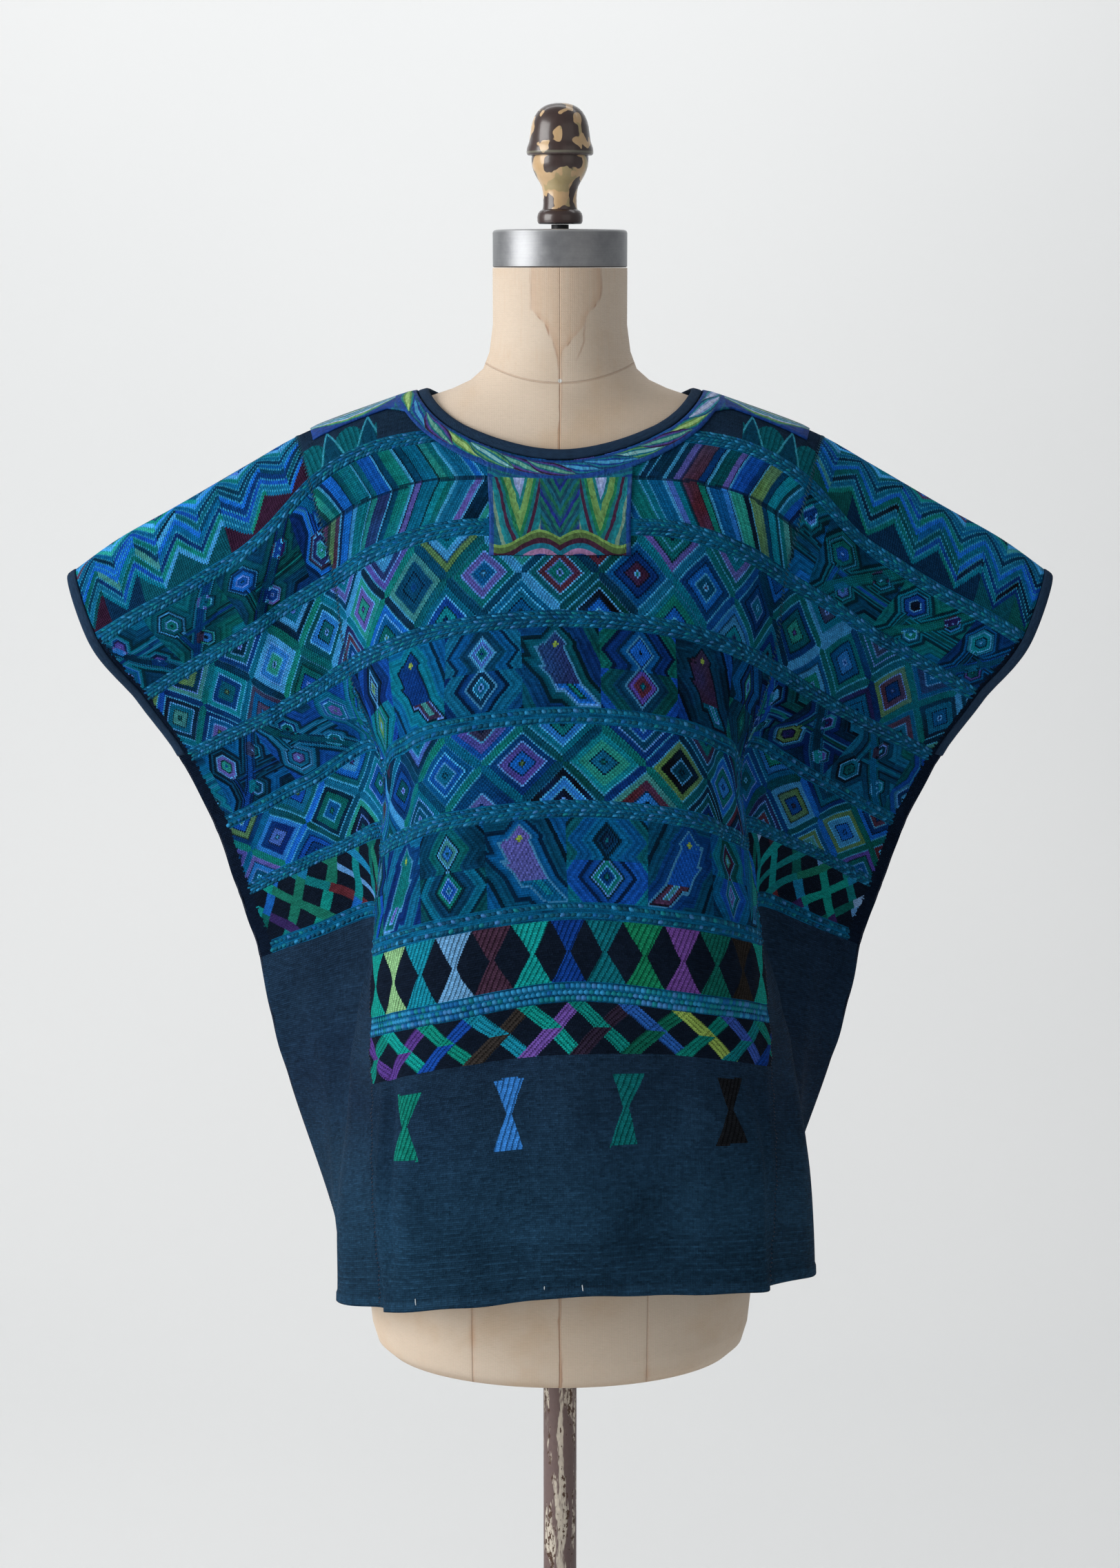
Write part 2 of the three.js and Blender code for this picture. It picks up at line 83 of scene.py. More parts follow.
class Field:
    """A value that changes over a surface. It is reckoned with like a number, and each step is a node."""

    def __init__(self, net, socket):
        self.net, self.socket = net, socket

    def __add__(self, other):
        return self.net.math("ADD", self, other)

    def __sub__(self, other):
        return self.net.math("SUBTRACT", self, other)

    def __rsub__(self, other):
        return self.net.math("SUBTRACT", other, self)

    def __mul__(self, other):
        return self.net.math("MULTIPLY", self, other)

    def __truediv__(self, other):
        return self.net.math("DIVIDE", self, other)

    def __abs__(self):
        return self.net.math("ABSOLUTE", self)

    def __lt__(self, other):
        return self.net.math("LESS_THAN", self, other)

    def __gt__(self, other):
        return self.net.math("GREATER_THAN", self, other)

    def floor(self):
        return self.net.math("FLOOR", self)

    def round(self):
        return self.net.math("FLOOR", self + 0.5)

    def fract(self):
        return self.net.math("FRACT", self)

    def low(self, other):
        return self.net.math("MINIMUM", self, other)

    def high(self, other):
        return self.net.math("MAXIMUM", self, other)

    def sin(self):
        return self.net.math("SINE", self)

    def step(self, start, end):
        """0 below start, 1 above end, smooth between."""
        return self.net.span(self, start, end)

    def ribs(self):
        """Up from 0 to 1 and down again over every whole number."""
        return self.net.math("PINGPONG", self, 0.5) * 2


class Net:
    """Adds nodes to a material or a group."""

    def __init__(self, tree):
        self.tree = tree

    def put(self, socket, value):
        if isinstance(value, Field):
            self.tree.links.new(value.socket, socket)
        elif isinstance(value, tuple):
            socket.default_value = value[:len(socket.default_value)]
        else:
            socket.default_value = value

    def math(self, operation, *values):
        node = self.tree.nodes.new("ShaderNodeMath")
        node.operation = operation
        for socket, value in zip(node.inputs, values):
            self.put(socket, value)
        return Field(self, node.outputs[0])

    def span(self, value, start, end):
        node = self.tree.nodes.new("ShaderNodeMapRange")
        node.interpolation_type = "SMOOTHSTEP"
        for key, number in (("Value", value), ("From Min", start), ("From Max", end)):
            self.put(node.inputs[key], number)
        return Field(self, node.outputs["Result"])

    def mix(self, share, a, b):
        """Colour a where share is 0, b where it is 1."""
        node = self.tree.nodes.new("ShaderNodeMix")
        node.data_type = "RGBA"
        for index, value in ((0, share), (6, a), (7, b)):
            self.put(node.inputs[index], value)
        return Field(self, node.outputs[2])

    def tint(self, colour, share, tone, shade=None):
        """The colour with a share of a tone laid over it, the tone made darker or brighter by its shade."""
        return self.mix(share, colour, ink(tone) if shade is None else self.scale(ink(tone), shade))

    def scale(self, colour, amount):
        """The colour made darker or brighter."""
        node = self.tree.nodes.new("ShaderNodeVectorMath")
        node.operation = "SCALE"
        self.put(node.inputs[0], colour)
        self.put(node.inputs["Scale"], amount)
        return Field(self, node.outputs[0])

    def point(self, x, y, z=0.0):
        node = self.tree.nodes.new("ShaderNodeCombineXYZ")
        for socket, value in zip(node.inputs, (x, y, z)):
            self.put(socket, value)
        return Field(self, node.outputs[0])

    def chance(self, x, y, z=0.0):
        """A number from 0 to 1, its own for each whole x, y and z."""
        node = self.tree.nodes.new("ShaderNodeTexWhiteNoise")
        node.noise_dimensions = "3D"
        self.put(node.inputs["Vector"], self.point(x + 0.5, y + 0.5, z))
        return Field(self, node.outputs["Value"])

    def noise(self, point, scale, detail=2.0, rough=0.5, size="2D"):
        node = self.tree.nodes.new("ShaderNodeTexNoise")
        node.noise_dimensions = size
        for key, value in (("Vector", point), ("Scale", scale), ("Detail", detail), ("Roughness", rough)):
            self.put(node.inputs[key], value)
        return Field(self, node.outputs[0])

    def pick(self, where, colours):
        """One of the colours, for where from 0 to 1."""
        node = self.tree.nodes.new("ShaderNodeValToRGB")
        ramp = node.color_ramp
        ramp.interpolation = "CONSTANT"
        while len(ramp.elements) < len(colours):
            ramp.elements.new(0.999)
        for k in range(len(colours)):
            ramp.elements[k].position = k / len(colours)
        for element, colour in zip(ramp.elements, colours):
            element.color = ink(colour)
        self.put(node.inputs[0], where)
        return Field(self, node.outputs[0])

    def numbered(self, index, colours, first=0):
        """The colour with this number, the first of them numbered first."""
        return self.pick((index - first + 0.5) / len(colours), colours)

    def place(self, name):
        """Both numbers of a map of the piece."""
        node = self.tree.nodes.new("ShaderNodeUVMap")
        node.uv_map = name
        split = self.tree.nodes.new("ShaderNodeSeparateXYZ")
        self.tree.links.new(node.outputs[0], split.inputs[0])
        return Field(self, split.outputs[0]), Field(self, split.outputs[1])

    def object_point(self):
        """The place on the object, in metres."""
        return Field(self, self.tree.nodes.new("ShaderNodeTexCoord").outputs["Object"])

    def object_place(self):
        """The place on the object, in metres, as its three numbers."""
        split = self.tree.nodes.new("ShaderNodeSeparateXYZ")
        self.put(split.inputs[0], self.object_point())
        return [Field(self, split.outputs[k]) for k in range(3)]

    def use(self, tree, values):
        """What a node group puts out for these values, by name."""
        node = self.tree.nodes.new("ShaderNodeGroup")
        node.node_tree = tree
        for key, value in values.items():
            self.put(node.inputs[key], value)
        return {socket.name: Field(self, socket) for socket in node.outputs}


def ink(colour):
    """A colour given as #rrggbb, as the linear numbers that a socket takes."""
    parts = [int(colour[k:k + 2], 16) / 255 for k in (1, 3, 5)]
    return tuple(p / 12.92 if p < 0.04045 else ((p + 0.055) / 1.055) ** 2.4 for p in parts) + (1.0,)


def effect(name, inputs, outputs, build):
    """A node group. Inputs are names and first values, outputs are names, and build reckons them."""
    tree = bpy.data.node_groups.new(name, "ShaderNodeTree")
    for key, start in inputs.items():
        kind = "NodeSocketColor" if isinstance(start, tuple) else "NodeSocketFloat"
        tree.interface.new_socket(name=key, in_out="INPUT", socket_type=kind).default_value = start
    for key in outputs:
        kind = "NodeSocketColor" if key == "Colour" else "NodeSocketFloat"
        tree.interface.new_socket(name=key, in_out="OUTPUT", socket_type=kind)
    net = Net(tree)
    start, end = tree.nodes.new("NodeGroupInput"), tree.nodes.new("NodeGroupOutput")
    got = build(net, *[Field(net, start.outputs[key]) for key in inputs])
    for key, value in zip(outputs, got):
        net.put(end.inputs[key], value)
    return tree


def handwoven(net, across, along, wander, row):
    """Hand-laid threads: places that wander a little and step row by row, uneven stitches, their relief."""
    here = net.point(across, along)
    sway = net.noise(here, 0.028, 1.0)
    drift = net.noise(net.point(along, across), 0.035, 1.0)
    thread = (along / row).floor()
    jitter = net.chance(thread, (across / 46).floor()) - 0.5
    u = across + (sway - 0.5) * wander * 2.4 + jitter * wander * 0.35
    v = (thread + 0.5) * row + (drift - 0.5) * wander * 2.6
    run = across / STITCH + thread * STITCH_SHIFT
    stitch = net.chance(run.floor(), thread)
    fuzz = net.noise(net.point(across * 0.9, along * 1.6), 1.0, 2.0)
    fleck = stitch * 0.5 + fuzz * 0.7 + 0.42
    rows = (along / row).ribs()
    cross = run.ribs()
    height = (rows.step(0.0, 0.75) * 0.7 + cross.step(0.0, 0.4) * 0.3) * (stitch * 0.5 + 0.7)
    return u, v, fleck, height


THREADS_GROUP = effect("handwoven threads", {"Across": 0.0, "Along": 0.0, "Wander": 1.1, "Row": WEFT_ROW},
                       ("Across", "Along", "Fleck", "Height"), handwoven)

# Wool colours: the first half are the grounds, the second half the accents
WOOLS = ["#0a5f80", "#0a4f8c", "#0a5a58", "#103f94", "#083f5c", "#0a6a84", "#0a2760", "#084448", "#0a5a8c",
         "#083450", "#106088", "#0c6668", "#0a3070", "#0b545e", "#1248a8", "#072238", "#1762c8", "#107468",
         "#0d1018", "#3f94d4", "#3d8686", "#361f36", "#2876cc", "#241c54", "#4468c0", "#108296", "#5044a0",
         "#557f4a", "#0a246c", "#5c56aa", "#248a80", "#4c2430"]


def dyed(net, pick, across, along, fleck, spread):
    """Wool of the picked colour, dyed over unevenly with teal and blue."""
    here = net.point(across, along)
    cloud = net.noise(here, 0.011, 2.0)
    blotch = net.noise(here, 0.045, 2.0, 0.6)
    colour = net.pick(pick * spread, WOOLS)
    colour = net.tint(colour, (cloud - 0.45) * 0.9 + 0.1, "#065c88")
    colour = net.tint(colour, blotch - 0.42, "#06265c")
    return (net.scale(colour, fleck * (blotch * 0.8 + 0.56)),)


DYE_GROUP = effect("dyed wool", {"Pick": 0.5, "Across": 0.0, "Along": 0.0, "Fleck": 1.0, "Spread": 1.0},
                   ("Colour",), dyed)


def wool(net, pick, across, along, fleck, spread=1.0):
    """Dyed wool at a place on the cloth."""
    values = {"Pick": pick, "Across": across, "Along": along, "Fleck": fleck, "Spread": spread}
    return net.use(DYE_GROUP, values)["Colour"]


def nested(net, distance, width, seed_x, seed_y, across, along, fleck, spread):
    """Nested rings by the distance from an edge, some parted by pale or dark outlines."""
    ring, share = (distance / width).floor(), (distance / width).fract()
    cord = (distance / 1.9).ribs()
    fleck = fleck * (cord.step(0.0, 0.55) * 0.42 + 0.66)
    colour = wool(net, net.chance(seed_x, seed_y, ring), across, along, fleck, spread)
    luck = net.chance(seed_x + 40, seed_y + 7, ring)
    line = share * width < 1.0
    pale = line * (luck > 0.56) * (spread > 0.75)
    dark = line * (luck < 0.38)
    outline = net.mix(luck * 2 - 1.2, ink("#46a8e0"), ink("#5c76d4"))
    colour = net.mix(pale * 0.85, colour, net.scale(outline, fleck))
    colour = net.tint(colour, dark * 0.85, "#050f1c")
    return colour, net.math("PINGPONG", share, 0.5) + cord * 0.9


RING_GROUP = effect("nested rings",
                    {"Distance": 0.0, "Width": 4.0, "Seed X": 0.0, "Seed Y": 0.0, "Across": 0.0, "Along": 0.0,
                     "Fleck": 1.0, "Spread": 1.0}, ("Colour", "Height"), nested)


def weave_lines(net, across, along, pitch, contrast):
    """Fine plain weave: single threads, slubs and a faint haze."""
    here = net.point(across, along)
    warp = (across / pitch).ribs()
    weft = (along / pitch).ribs()
    slub = net.noise(net.point(across * 0.12, along * 1.6), 1.0, 2.0)
    strand = net.noise(net.point(across * 1.4, along * 0.05), 1.0, 2.0)
    haze = net.noise(here, 0.02, 3.0)
    height = warp.low(weft) * 0.5 + (slub + strand) * 0.4
    shade = (slub + strand + haze - 1.5) * contrast + 1
    return shade, height


WEAVE_GROUP = effect("plain weave", {"Across": 0.0, "Along": 0.0, "Pitch": 0.9, "Contrast": 0.5},
                     ("Shade", "Height"), weave_lines)


FINISH = {}


def finish(name, colour_of, rough=0.8, sheen=0.0, sheen_tint=(1, 1, 1, 1), metallic=0.0, coat=0.0,
           specular=0.5, coat_rough=0.3):
    """A material. colour_of gives its colour, its relief in millimetres and perhaps its roughness."""
    material = bpy.data.materials.new(name)
    material.use_nodes = True
    net = Net(material.node_tree)
    shader = material.node_tree.nodes["Principled BSDF"]
    colour, relief, *own_rough = colour_of(net)
    for key, value in (("Base Color", colour), ("Roughness", own_rough[0] if own_rough else rough),
                       ("Metallic", metallic), ("Specular IOR Level", specular), ("Sheen Weight", sheen),
                       ("Sheen Roughness", 0.5), ("Sheen Tint", sheen_tint), ("Coat Weight", coat),
                       ("Coat Roughness", coat_rough)):
        net.put(shader.inputs[key], value)
    if relief is not None:
        raised = material.node_tree.nodes.new("ShaderNodeBump")
        raised.inputs["Strength"].default_value = 1.0
        raised.inputs["Distance"].default_value = 0.001
        net.put(raised.inputs["Height"], relief)
        net.put(shader.inputs["Normal"], Field(net, raised.outputs[0]))
    FINISH[name] = material


# Where the brocade ends before the side edge, and how far down from the shoulder fold that begins
BROCADE_EDGE = 384.5
BROCADE_EDGE_FROM = BANDS[0]


def woven(name, pattern):
    """A brocaded finish. The pattern gets the net, the place across, how far it is down from the shoulder
    fold, whether it is on the back, the threads' fleck, and the place along."""

    def colour_of(net):
        u, v = net.place("cloth")
        threads = net.use(THREADS_GROUP, {"Across": u, "Along": v})
        across, along, fleck = threads["Across"], threads["Along"], threads["Fleck"]
        colour, relief = pattern(net, across, abs(along), v < 0, fleck, along)
        ragged = net.chance((v / WEFT_ROW).floor(), 3) * 2.5
        strip = (abs(u) + ragged > BROCADE_EDGE) * (abs(v) > BROCADE_EDGE_FROM)
        return net.tint(colour, strip, "#0e1a2c", fleck), threads["Height"] * 0.5 + relief

    finish(name, colour_of, rough=0.85, specular=0.02)


def rings(net, distance, width, seed_x, seed_y, across, along, fleck, spread=1.0):
    """Colour and relief of nested rings. The seeds choose a figure's own colours."""
    got = net.use(RING_GROUP, {"Distance": distance, "Width": width, "Seed X": seed_x, "Seed Y": seed_y,
                               "Across": across, "Along": along, "Fleck": fleck, "Spread": spread})
    return got["Colour"], got["Height"]


def zigzags(net, u, v, back, fleck, along):
    """Steep zigzags in narrow stripes, with filled triangles under the lowest."""
    half, rise, pitch, triangles = 17.5, 17, 4.7, 54
    leg = net.math("PINGPONG", (u + (v / 17).sin() * 2) / half, 1.0)
    down = v + leg * rise + 30
    stripe, share = (down / pitch).floor(), (down / pitch).fract()
    flank = (u / half).floor()
    cord = (down / 1.6).ribs()
    lit = fleck * (cord.step(0.0, 0.5) * 0.35 + 0.78)
    fold = stripe < 10
    pick = net.chance(stripe, (flank / 3).floor() * (net.chance(stripe, 13) > 0.3) + back * 30,
                      net.chance(flank, stripe, 3.0) > 0.8)
    colour = wool(net, pick, u, along, lit * (fold * 0.6 + 1.15), fold * 0.35 + 0.65)
    lucky = net.chance(stripe, (flank / 4).floor(), back + 9.0) * fold
    colour = net.tint(colour, (lucky > 0.72) * 0.8, "#4a9ad8", lit)
    line = (share < 0.22) * (net.chance(stripe, 91) > 0.5)
    colour = net.tint(colour, line * 0.8, "#2f90b8", fleck)
    low = (v + leg * rise).step(triangles, triangles + 0.6)
    fill = net.pick(net.chance((u / (half * 2) + 0.5).floor(), back + 2),
                    ["#0b3f46", "#2e1a30", "#0c4c50", "#0a2c4c", "#0a4a5c", "#3a1f2a"])
    colour = net.mix(low, colour, net.scale(fill, lit))
    return colour, cord * 0.45


def hills(net, u, v, back, fleck, along):
    """Ribbed half rounds standing on the band, an outlined V between each two, and bare cloth by the neck."""
    first, apart = 156, 33
    clear = abs(u) > 132
    cell = ((abs(u) - first) / apart).round()
    x = abs(u) - first - cell * apart
    ground, ground_relief = plain_colour(net, u, along, v + 300)
    mound = 1 - (x * x) / 210 - (v - 58) * (v - 58) / 740
    rib = ((x + v * 0.12) / 4.2).ribs()
    notch = (v - 26) * 0.34 - abs(apart / 2 - abs(x))
    colour = net.scale(ink("#0a5866"), fleck * (rib.step(0.0, 0.5) * 0.55 + 0.6))
    inside = (mound > 0) * clear
    made = net.mix(inside, ground, colour)
    wedge = (notch > 0) * clear * (1 - inside).high(notch > 1.6)
    made = net.tint(made, wedge, "#0a3f5a", fleck)
    edge = (abs(notch) < 0.8) * clear
    made = net.tint(made, edge * 0.8, "#3a9ab8", fleck)
    return made, ground_relief + inside * rib * 0.5


def slanted_bars(net, u, v, back, fleck, along):
    """Bars that slant out from a level middle line, uneven in width."""
    middle, slant, width = row_middle(0), 0.62, 9.3
    y = v - middle
    s = abs(u) - abs(y) * slant
    s = s + (s * 0.31 + 1.3).sin() * 2.4 + 100
    bar, share = (s / width).floor(), (s / width).fract()
    quarter = (y > 0) * 9 + (u > 0) * 21
    pick = net.chance(bar, (u > 0) * 5 + back * 11, net.chance(bar, quarter) > 0.7)
    cord = (s / 1.75).ribs()
    lit = fleck * (cord.step(0.0, 0.5) * 0.35 + 0.85)
    colour = wool(net, pick, u, along, lit)
    luck = net.chance(bar, 55)
    colour = net.tint(colour, (share < 0.2) * (luck > 0.5) * 0.8, "#3f9ad0", fleck)
    colour = net.tint(colour, (share > 0.84) * (luck < 0.55) * 0.85, "#0a1626")
    colour = net.tint(colour, (abs(y) < 0.95) * 0.8, "#0a2036")
    return colour, net.math("PINGPONG", share, 0.5) * 0.5 + cord * 0.35


# How far the second row of a figure stands below the first, and how wide the larger figures are
ROW_DROP = BANDS[2] - BANDS[0]
FIGURE = 53


def diamonds(net, u, v, back, fleck, along):
    """Nested diamonds that fill the row, parted by crossing bands."""
    middle, tall = row_middle(1), 55
    second = v > 240
    y = v - middle - second * ROW_DROP
    shift = second * 0.5 + back * 0.5
    p = u / FIGURE + y / tall + shift
    q = u / FIGURE - y / tall + shift
    near_p, near_q = 0.5 - abs(p - p.round()), 0.5 - abs(q - q.round())
    band_p = near_p < near_q
    distance = near_p.low(near_q) * 38.2 - 3.1
    seed = second * 20 + back * 50
    colour, relief = rings(net, distance + 40, 4.9, p.round() + seed, q.round() + 9, u, along, fleck * 1.05)
    leg = band_p * ((p.floor()) * 2 + 100) + (1 - band_p) * (q.floor() * 2 + 31)
    cord = (distance / 1.55).ribs()
    band = wool(net, net.chance(leg, seed), u, along, fleck * (cord.step(0.0, 0.5) * 0.4 + 0.8), 0.62)
    inside = distance < 0
    colour = net.mix(inside, colour, band)
    outline = (abs(distance) < 0.55) * (net.chance(leg, seed + 3) > 0.45)
    colour = net.tint(colour, outline * 0.75, "#3f9fd4", fleck)
    return colour, relief * 0.5 + inside * cord * 0.5


def hexagon(x, y, half):
    """Distance inwards from the edge of a six-sided figure that is taller than wide."""
    return half - (abs(x) * 0.86 + abs(y) * 0.5).high(abs(y) * 0.82)


def birds(net, u, v, back, fleck, along):
    """A bird and a pair of lozenges by turns."""
    middle = row_middle(2)
    second = v > 300
    y = v - middle - second * ROW_DROP
    shift = second * 26 + back * 17
    cell = ((u + shift) / FIGURE).round()
    x = u + shift - cell * FIGURE
    odd = net.math("FLOORED_MODULO", cell, 2.0) > 0.5
    flip = 1 - (net.chance(cell, second + back * 2) > 0.5) * 2
    x = x * flip
    head = 8.2 - (abs(x + 4) + abs(y + 16) * 0.9)
    beak = 3.2 - (abs(x + 12.5) + abs(y + 15) * 1.3)
    lean = x - y * 0.45
    trunk = (8.6 - abs(lean + 1) * 0.9).low(14 - abs(y - 1) * 0.9)
    tail = (6.5 - abs(x - y * 0.9 + 5) * 0.8).low(y + 2).low(27 - y)
    bird = head.high(beak).high(trunk.high(tail))
    upper = 9.5 - (abs(x) * 1.05 + abs(y + 13) * 0.8)
    lower = 10.5 - (abs(x) * 0.95 + abs(y - 11) * 0.72)
    lozenges = upper.high(lower)
    figure = lozenges * odd + bird * (1 - odd)
    seed = cell + second * 30 + back * 60
    within = figure > 0
    inner, relief = rings(net, figure * (within * 0.62 + 0.38) + 40, 3.7, seed, within * 3 + (y > 0) * odd,
                          u, along, fleck * 1.1, within * 0.5 + 0.5)
    eye = (2.4 - (abs(x + 4) + abs(y + 16) * 0.9)) > 0
    inner = net.tint(inner, eye * (1 - odd), "#7f9f48", fleck)
    ribs = ((x + y * 0.6) / 3.4).ribs()
    body = within * (1 - odd)
    plain = wool(net, net.chance(seed, 71) * 0.7 + 0.3, u, along, fleck * (ribs * 0.5 + 0.9))
    inner = net.mix(body * (1 - eye) * (y < 12), inner, plain)
    edge = abs(figure) < 0.75
    inner = net.mix(edge * 0.85, inner, net.mix(net.chance(seed, 5) > 0.5, ink("#07131f"), ink("#3f86b8")))
    return inner, relief * 0.45 + ribs * body * 0.5


def stems(net, u, v, back, fleck, along):
    """Six-sided flowers on slanting stems, some upside down."""
    middle, apart = row_middle(0), 62
    second = v > 180
    shift = second * 33 + back * 12
    cell = ((u + shift) / apart).round()
    x = u + shift - cell * apart
    turn = 1 - (net.chance(cell, second) > 0.5) * 2
    y = (v - middle - second * ROW_DROP) * turn
    big = hexagon(x + 15, y + 11, 10.5)
    small = hexagon(x - 17, y + 14, 6.5)
    low = hexagon(x + 2, y - 17, 7)
    bar = 4.6 - abs(x + y * 0.75 - 3) * 0.8
    stalk = (3.6 - abs(x + 15)).low(y + 11)
    arm = (3.4 - abs(y - 4)).low(26 - abs(x - 12))
    figure = big.high(small).high(low.high(bar)).high(stalk.high(arm))
    seed = cell + second * 40 + back * 80
    part = (big > 0) + (small > 0) * 2 + (low > 0) * 3 + (bar > 0) * 5
    within = figure > 0
    round_parts = big.high(small).high(low) > 0
    colour, relief = rings(net, figure * (within * 0.6 + 0.4) + 40, 3.8, seed, part, u, along, fleck * 1.05,
                           round_parts * 0.45 + 0.52)
    edge = abs(figure) < 0.75
    outline = net.mix(net.chance(seed, part) > 0.6, ink("#07131f"), ink("#2a7aac"))
    colour = net.mix(edge * 0.7, colour, outline)
    return colour, relief * 0.6


def black_ground(net, u, along, fleck):
    """The near-black cloth under the open figures."""
    got = net.use(WEAVE_GROUP, {"Across": u, "Along": along, "Pitch": 1.0, "Contrast": 0.35})
    return net.scale(ink("#101a29"), got["Shade"] * fleck), got["Height"] * 0.12


def laid_ribs(net, run, colour, fleck):
    """Short laid stitches with a dark line between each and the next."""
    rib = run.ribs()
    return net.scale(colour, fleck * (rib.step(0.0, 0.4) * 0.62 + 0.3)), rib.step(0, 0.6) * 0.7


RIB_GROUP = effect("laid ribs", {"Run": 0.0, "Colour": (0.5, 0.5, 0.5, 1), "Fleck": 1.0},
                   ("Colour", "Height"), laid_ribs)


def coloured_ribs(net, u, y, slant, fleck, colour):
    """Laid ribs that lean by slant."""
    got = net.use(RIB_GROUP, {"Run": (u + y * slant) / 3.9, "Colour": colour, "Fleck": fleck})
    return got["Colour"], got["Height"]


def stretched(u):
    """The count of the figures from the middle, which stand wider apart towards the seams."""
    return u * (abs(u) * -4.383e-5 + 0.04188)


def hourglasses(net, u, v, back, fleck, along):
    """Two triangles that meet at their points, one pair beside the other."""
    y = v - (BANDS[-1] + BAND_HALF + WIDE_BAND[0]) / 2
    n = stretched(u)
    cell = n.round()
    inside = abs(n - cell) < abs(y) * 0.0208 + 0.055
    ground, ground_relief = black_ground(net, u, along, fleck)
    colour = net.numbered(cell, ["#149a92", "#8cc08a", "#1688a4", "#6aa4d6", "#463044", "#14a0a0", "#123f94",
                                 "#0f6c7c", "#17805c", "#6f4a9c", "#12655c", "#2b2826", "#149a92"], -6)
    colour, ribs = coloured_ribs(net, u, y, 0.5, fleck * 1.05, colour)
    return net.mix(inside, ground, colour), ground_relief + inside * (ribs + 0.5)


def crossed_bars(net, u, v, back, fleck, along):
    """Slanting bars that cross in the middle of the row."""
    half = (BROCADE_END - WIDE_BAND[1]) / 2
    y = (v - WIDE_BAND[1] - half) / half
    c = (stretched(u) + 0.5) / 1.37
    p, q = c + y * 0.5, c - y * 0.5
    on_p, on_q = abs(p - p.round()) < 0.185, abs(q - q.round()) < 0.185
    ground, ground_relief = black_ground(net, u, along, fleck)
    right = net.numbered(p.round(), ["#12857c", "#5c3f94", "#1a4fb0", "#3a3634", "#7657b4", "#30283c",
                                     "#136a58", "#12857c", "#12808c", "#123f94"], -4)
    left = net.numbered(q.round(), ["#5c3f94", "#14a09a", "#128f80", "#1a90b0", "#14a09a", "#128a84",
                                    "#2a62b8", "#9cc060", "#3a5cb8", "#12857c"], -4)
    inside = on_p.high(on_q)
    colour = net.mix(on_q * (1 - on_p * (y > 0)), right, left)
    got = net.use(RIB_GROUP, {"Run": (p * on_p + q * (1 - on_p)) * 8.2, "Colour": colour, "Fleck": fleck})
    return net.mix(inside, ground, got["Colour"]), ground_relief + inside * (got["Height"] + 0.5)


def spotted_cloth(net, u, v, back, fleck, along):
    """Plain cloth with four lone hourglasses."""
    middle, apart = 548, 79
    y = v - middle
    n = (u + 4) / apart + 0.5
    cell = n.round().high(-1).low(2)
    x = (n - cell) * apart
    wide = abs(u) * 0.0042 + 0.9
    inside = (abs(x + y * 0.06) < (abs(y) * 0.31 + 1.7) * wide) * (abs(y) < 25.5)
    ground, ground_relief = plain_colour(net, u, along, v)
    colour = net.numbered(cell, ["#12807a", "#127e70", "#3a86dc", "#127276", "#1d2025", "#12807a"], -2)
    colour, ribs = coloured_ribs(net, u, y, 0.35, fleck * 1.05, colour)
    return net.mix(inside, net.scale(ground, fleck), colour), ground_relief + inside * (ribs + 0.4)


def lattice(net, u, v, back, fleck, along):
    """Bands that cross over and under each other."""
    middle, wide, tall = row_middle(4), 27, 45
    y = v - middle
    p, q = u / wide + y / tall, u / wide - y / tall
    near_p, near_q = abs(p - p.round()), abs(q - q.round())
    on_p, on_q = near_p < 0.17, near_q < 0.17
    over = net.chance(p.round(), q.round()) > 0.5
    ground, ground_relief = black_ground(net, u, along, fleck)
    leg = on_p * (1 - on_q * over)
    key = leg * (p.round() + 60) + (1 - leg) * (q.round() + 21)
    square = leg * q.floor() + (1 - leg) * p.floor()
    colour = net.pick(net.chance(key, (square / 2).floor()),
                      ["#128088", "#1a60b4", "#128a84", "#5a94d0", "#3b2a3a", "#0f6c74", "#1b6f60", "#34285c",
                       "#12868c", "#5c2a34", "#1a78a8", "#7fa8d8", "#0e5a58", "#12747c"])
    inside = on_p.high(on_q)
    return net.mix(inside, ground, net.scale(colour, fleck)), ground_relief + inside * 0.7


def band_ground(net, u, v, back, fleck, along):
    """The teal cloth under the twined stitches."""
    row = (v / 2.9).ribs()
    colour = net.mix(row.step(0.0, 0.4), ink("#083a5c"), ink("#0b5c86"))
    return net.scale(colour, fleck), row * 0.3


def plain_weave(net, u, along, v):
    """Dark handwoven cloth with slubs, and raised weft ribs near the hem."""
    rib_pitch = 4.0
    got = net.use(WEAVE_GROUP, {"Across": u, "Along": along, "Pitch": 0.9, "Contrast": 0.7})
    wash = net.noise(net.point(u * 0.4, along), 0.012, 3.0)
    rib = (v / rib_pitch).ribs()
    ribbed = v.step(634, 640) * (1 - v.step(670, 674))
    some = net.chance((v / rib_pitch).floor(), 4) > 0.3
    thick = rib.step(0.55, 1.0) * ribbed * some
    pick_line = net.noise(net.point(u * 0.02, v * 0.9), 1.0, 2.0)
    colour = net.mix(wash * 1.6 - 0.45, ink("#16283e"), ink("#20384f"))
    colour = net.tint(colour, v.step(500, 640) * 0.6, "#1f4058")
    shade = got["Shade"] * (pick_line * 0.4 + 0.8) * (1 - (1 - thick) * ribbed * 0.2 + thick * 0.15)
    return net.scale(colour, shade), got["Height"] * 0.3 + thick * 0.5 + pick_line * 0.15


PLAIN_GROUP = effect("dark handwoven cloth", {"Across": 0.0, "Along": 0.0, "Down": 0.0},
                     ("Colour", "Height"), plain_weave)


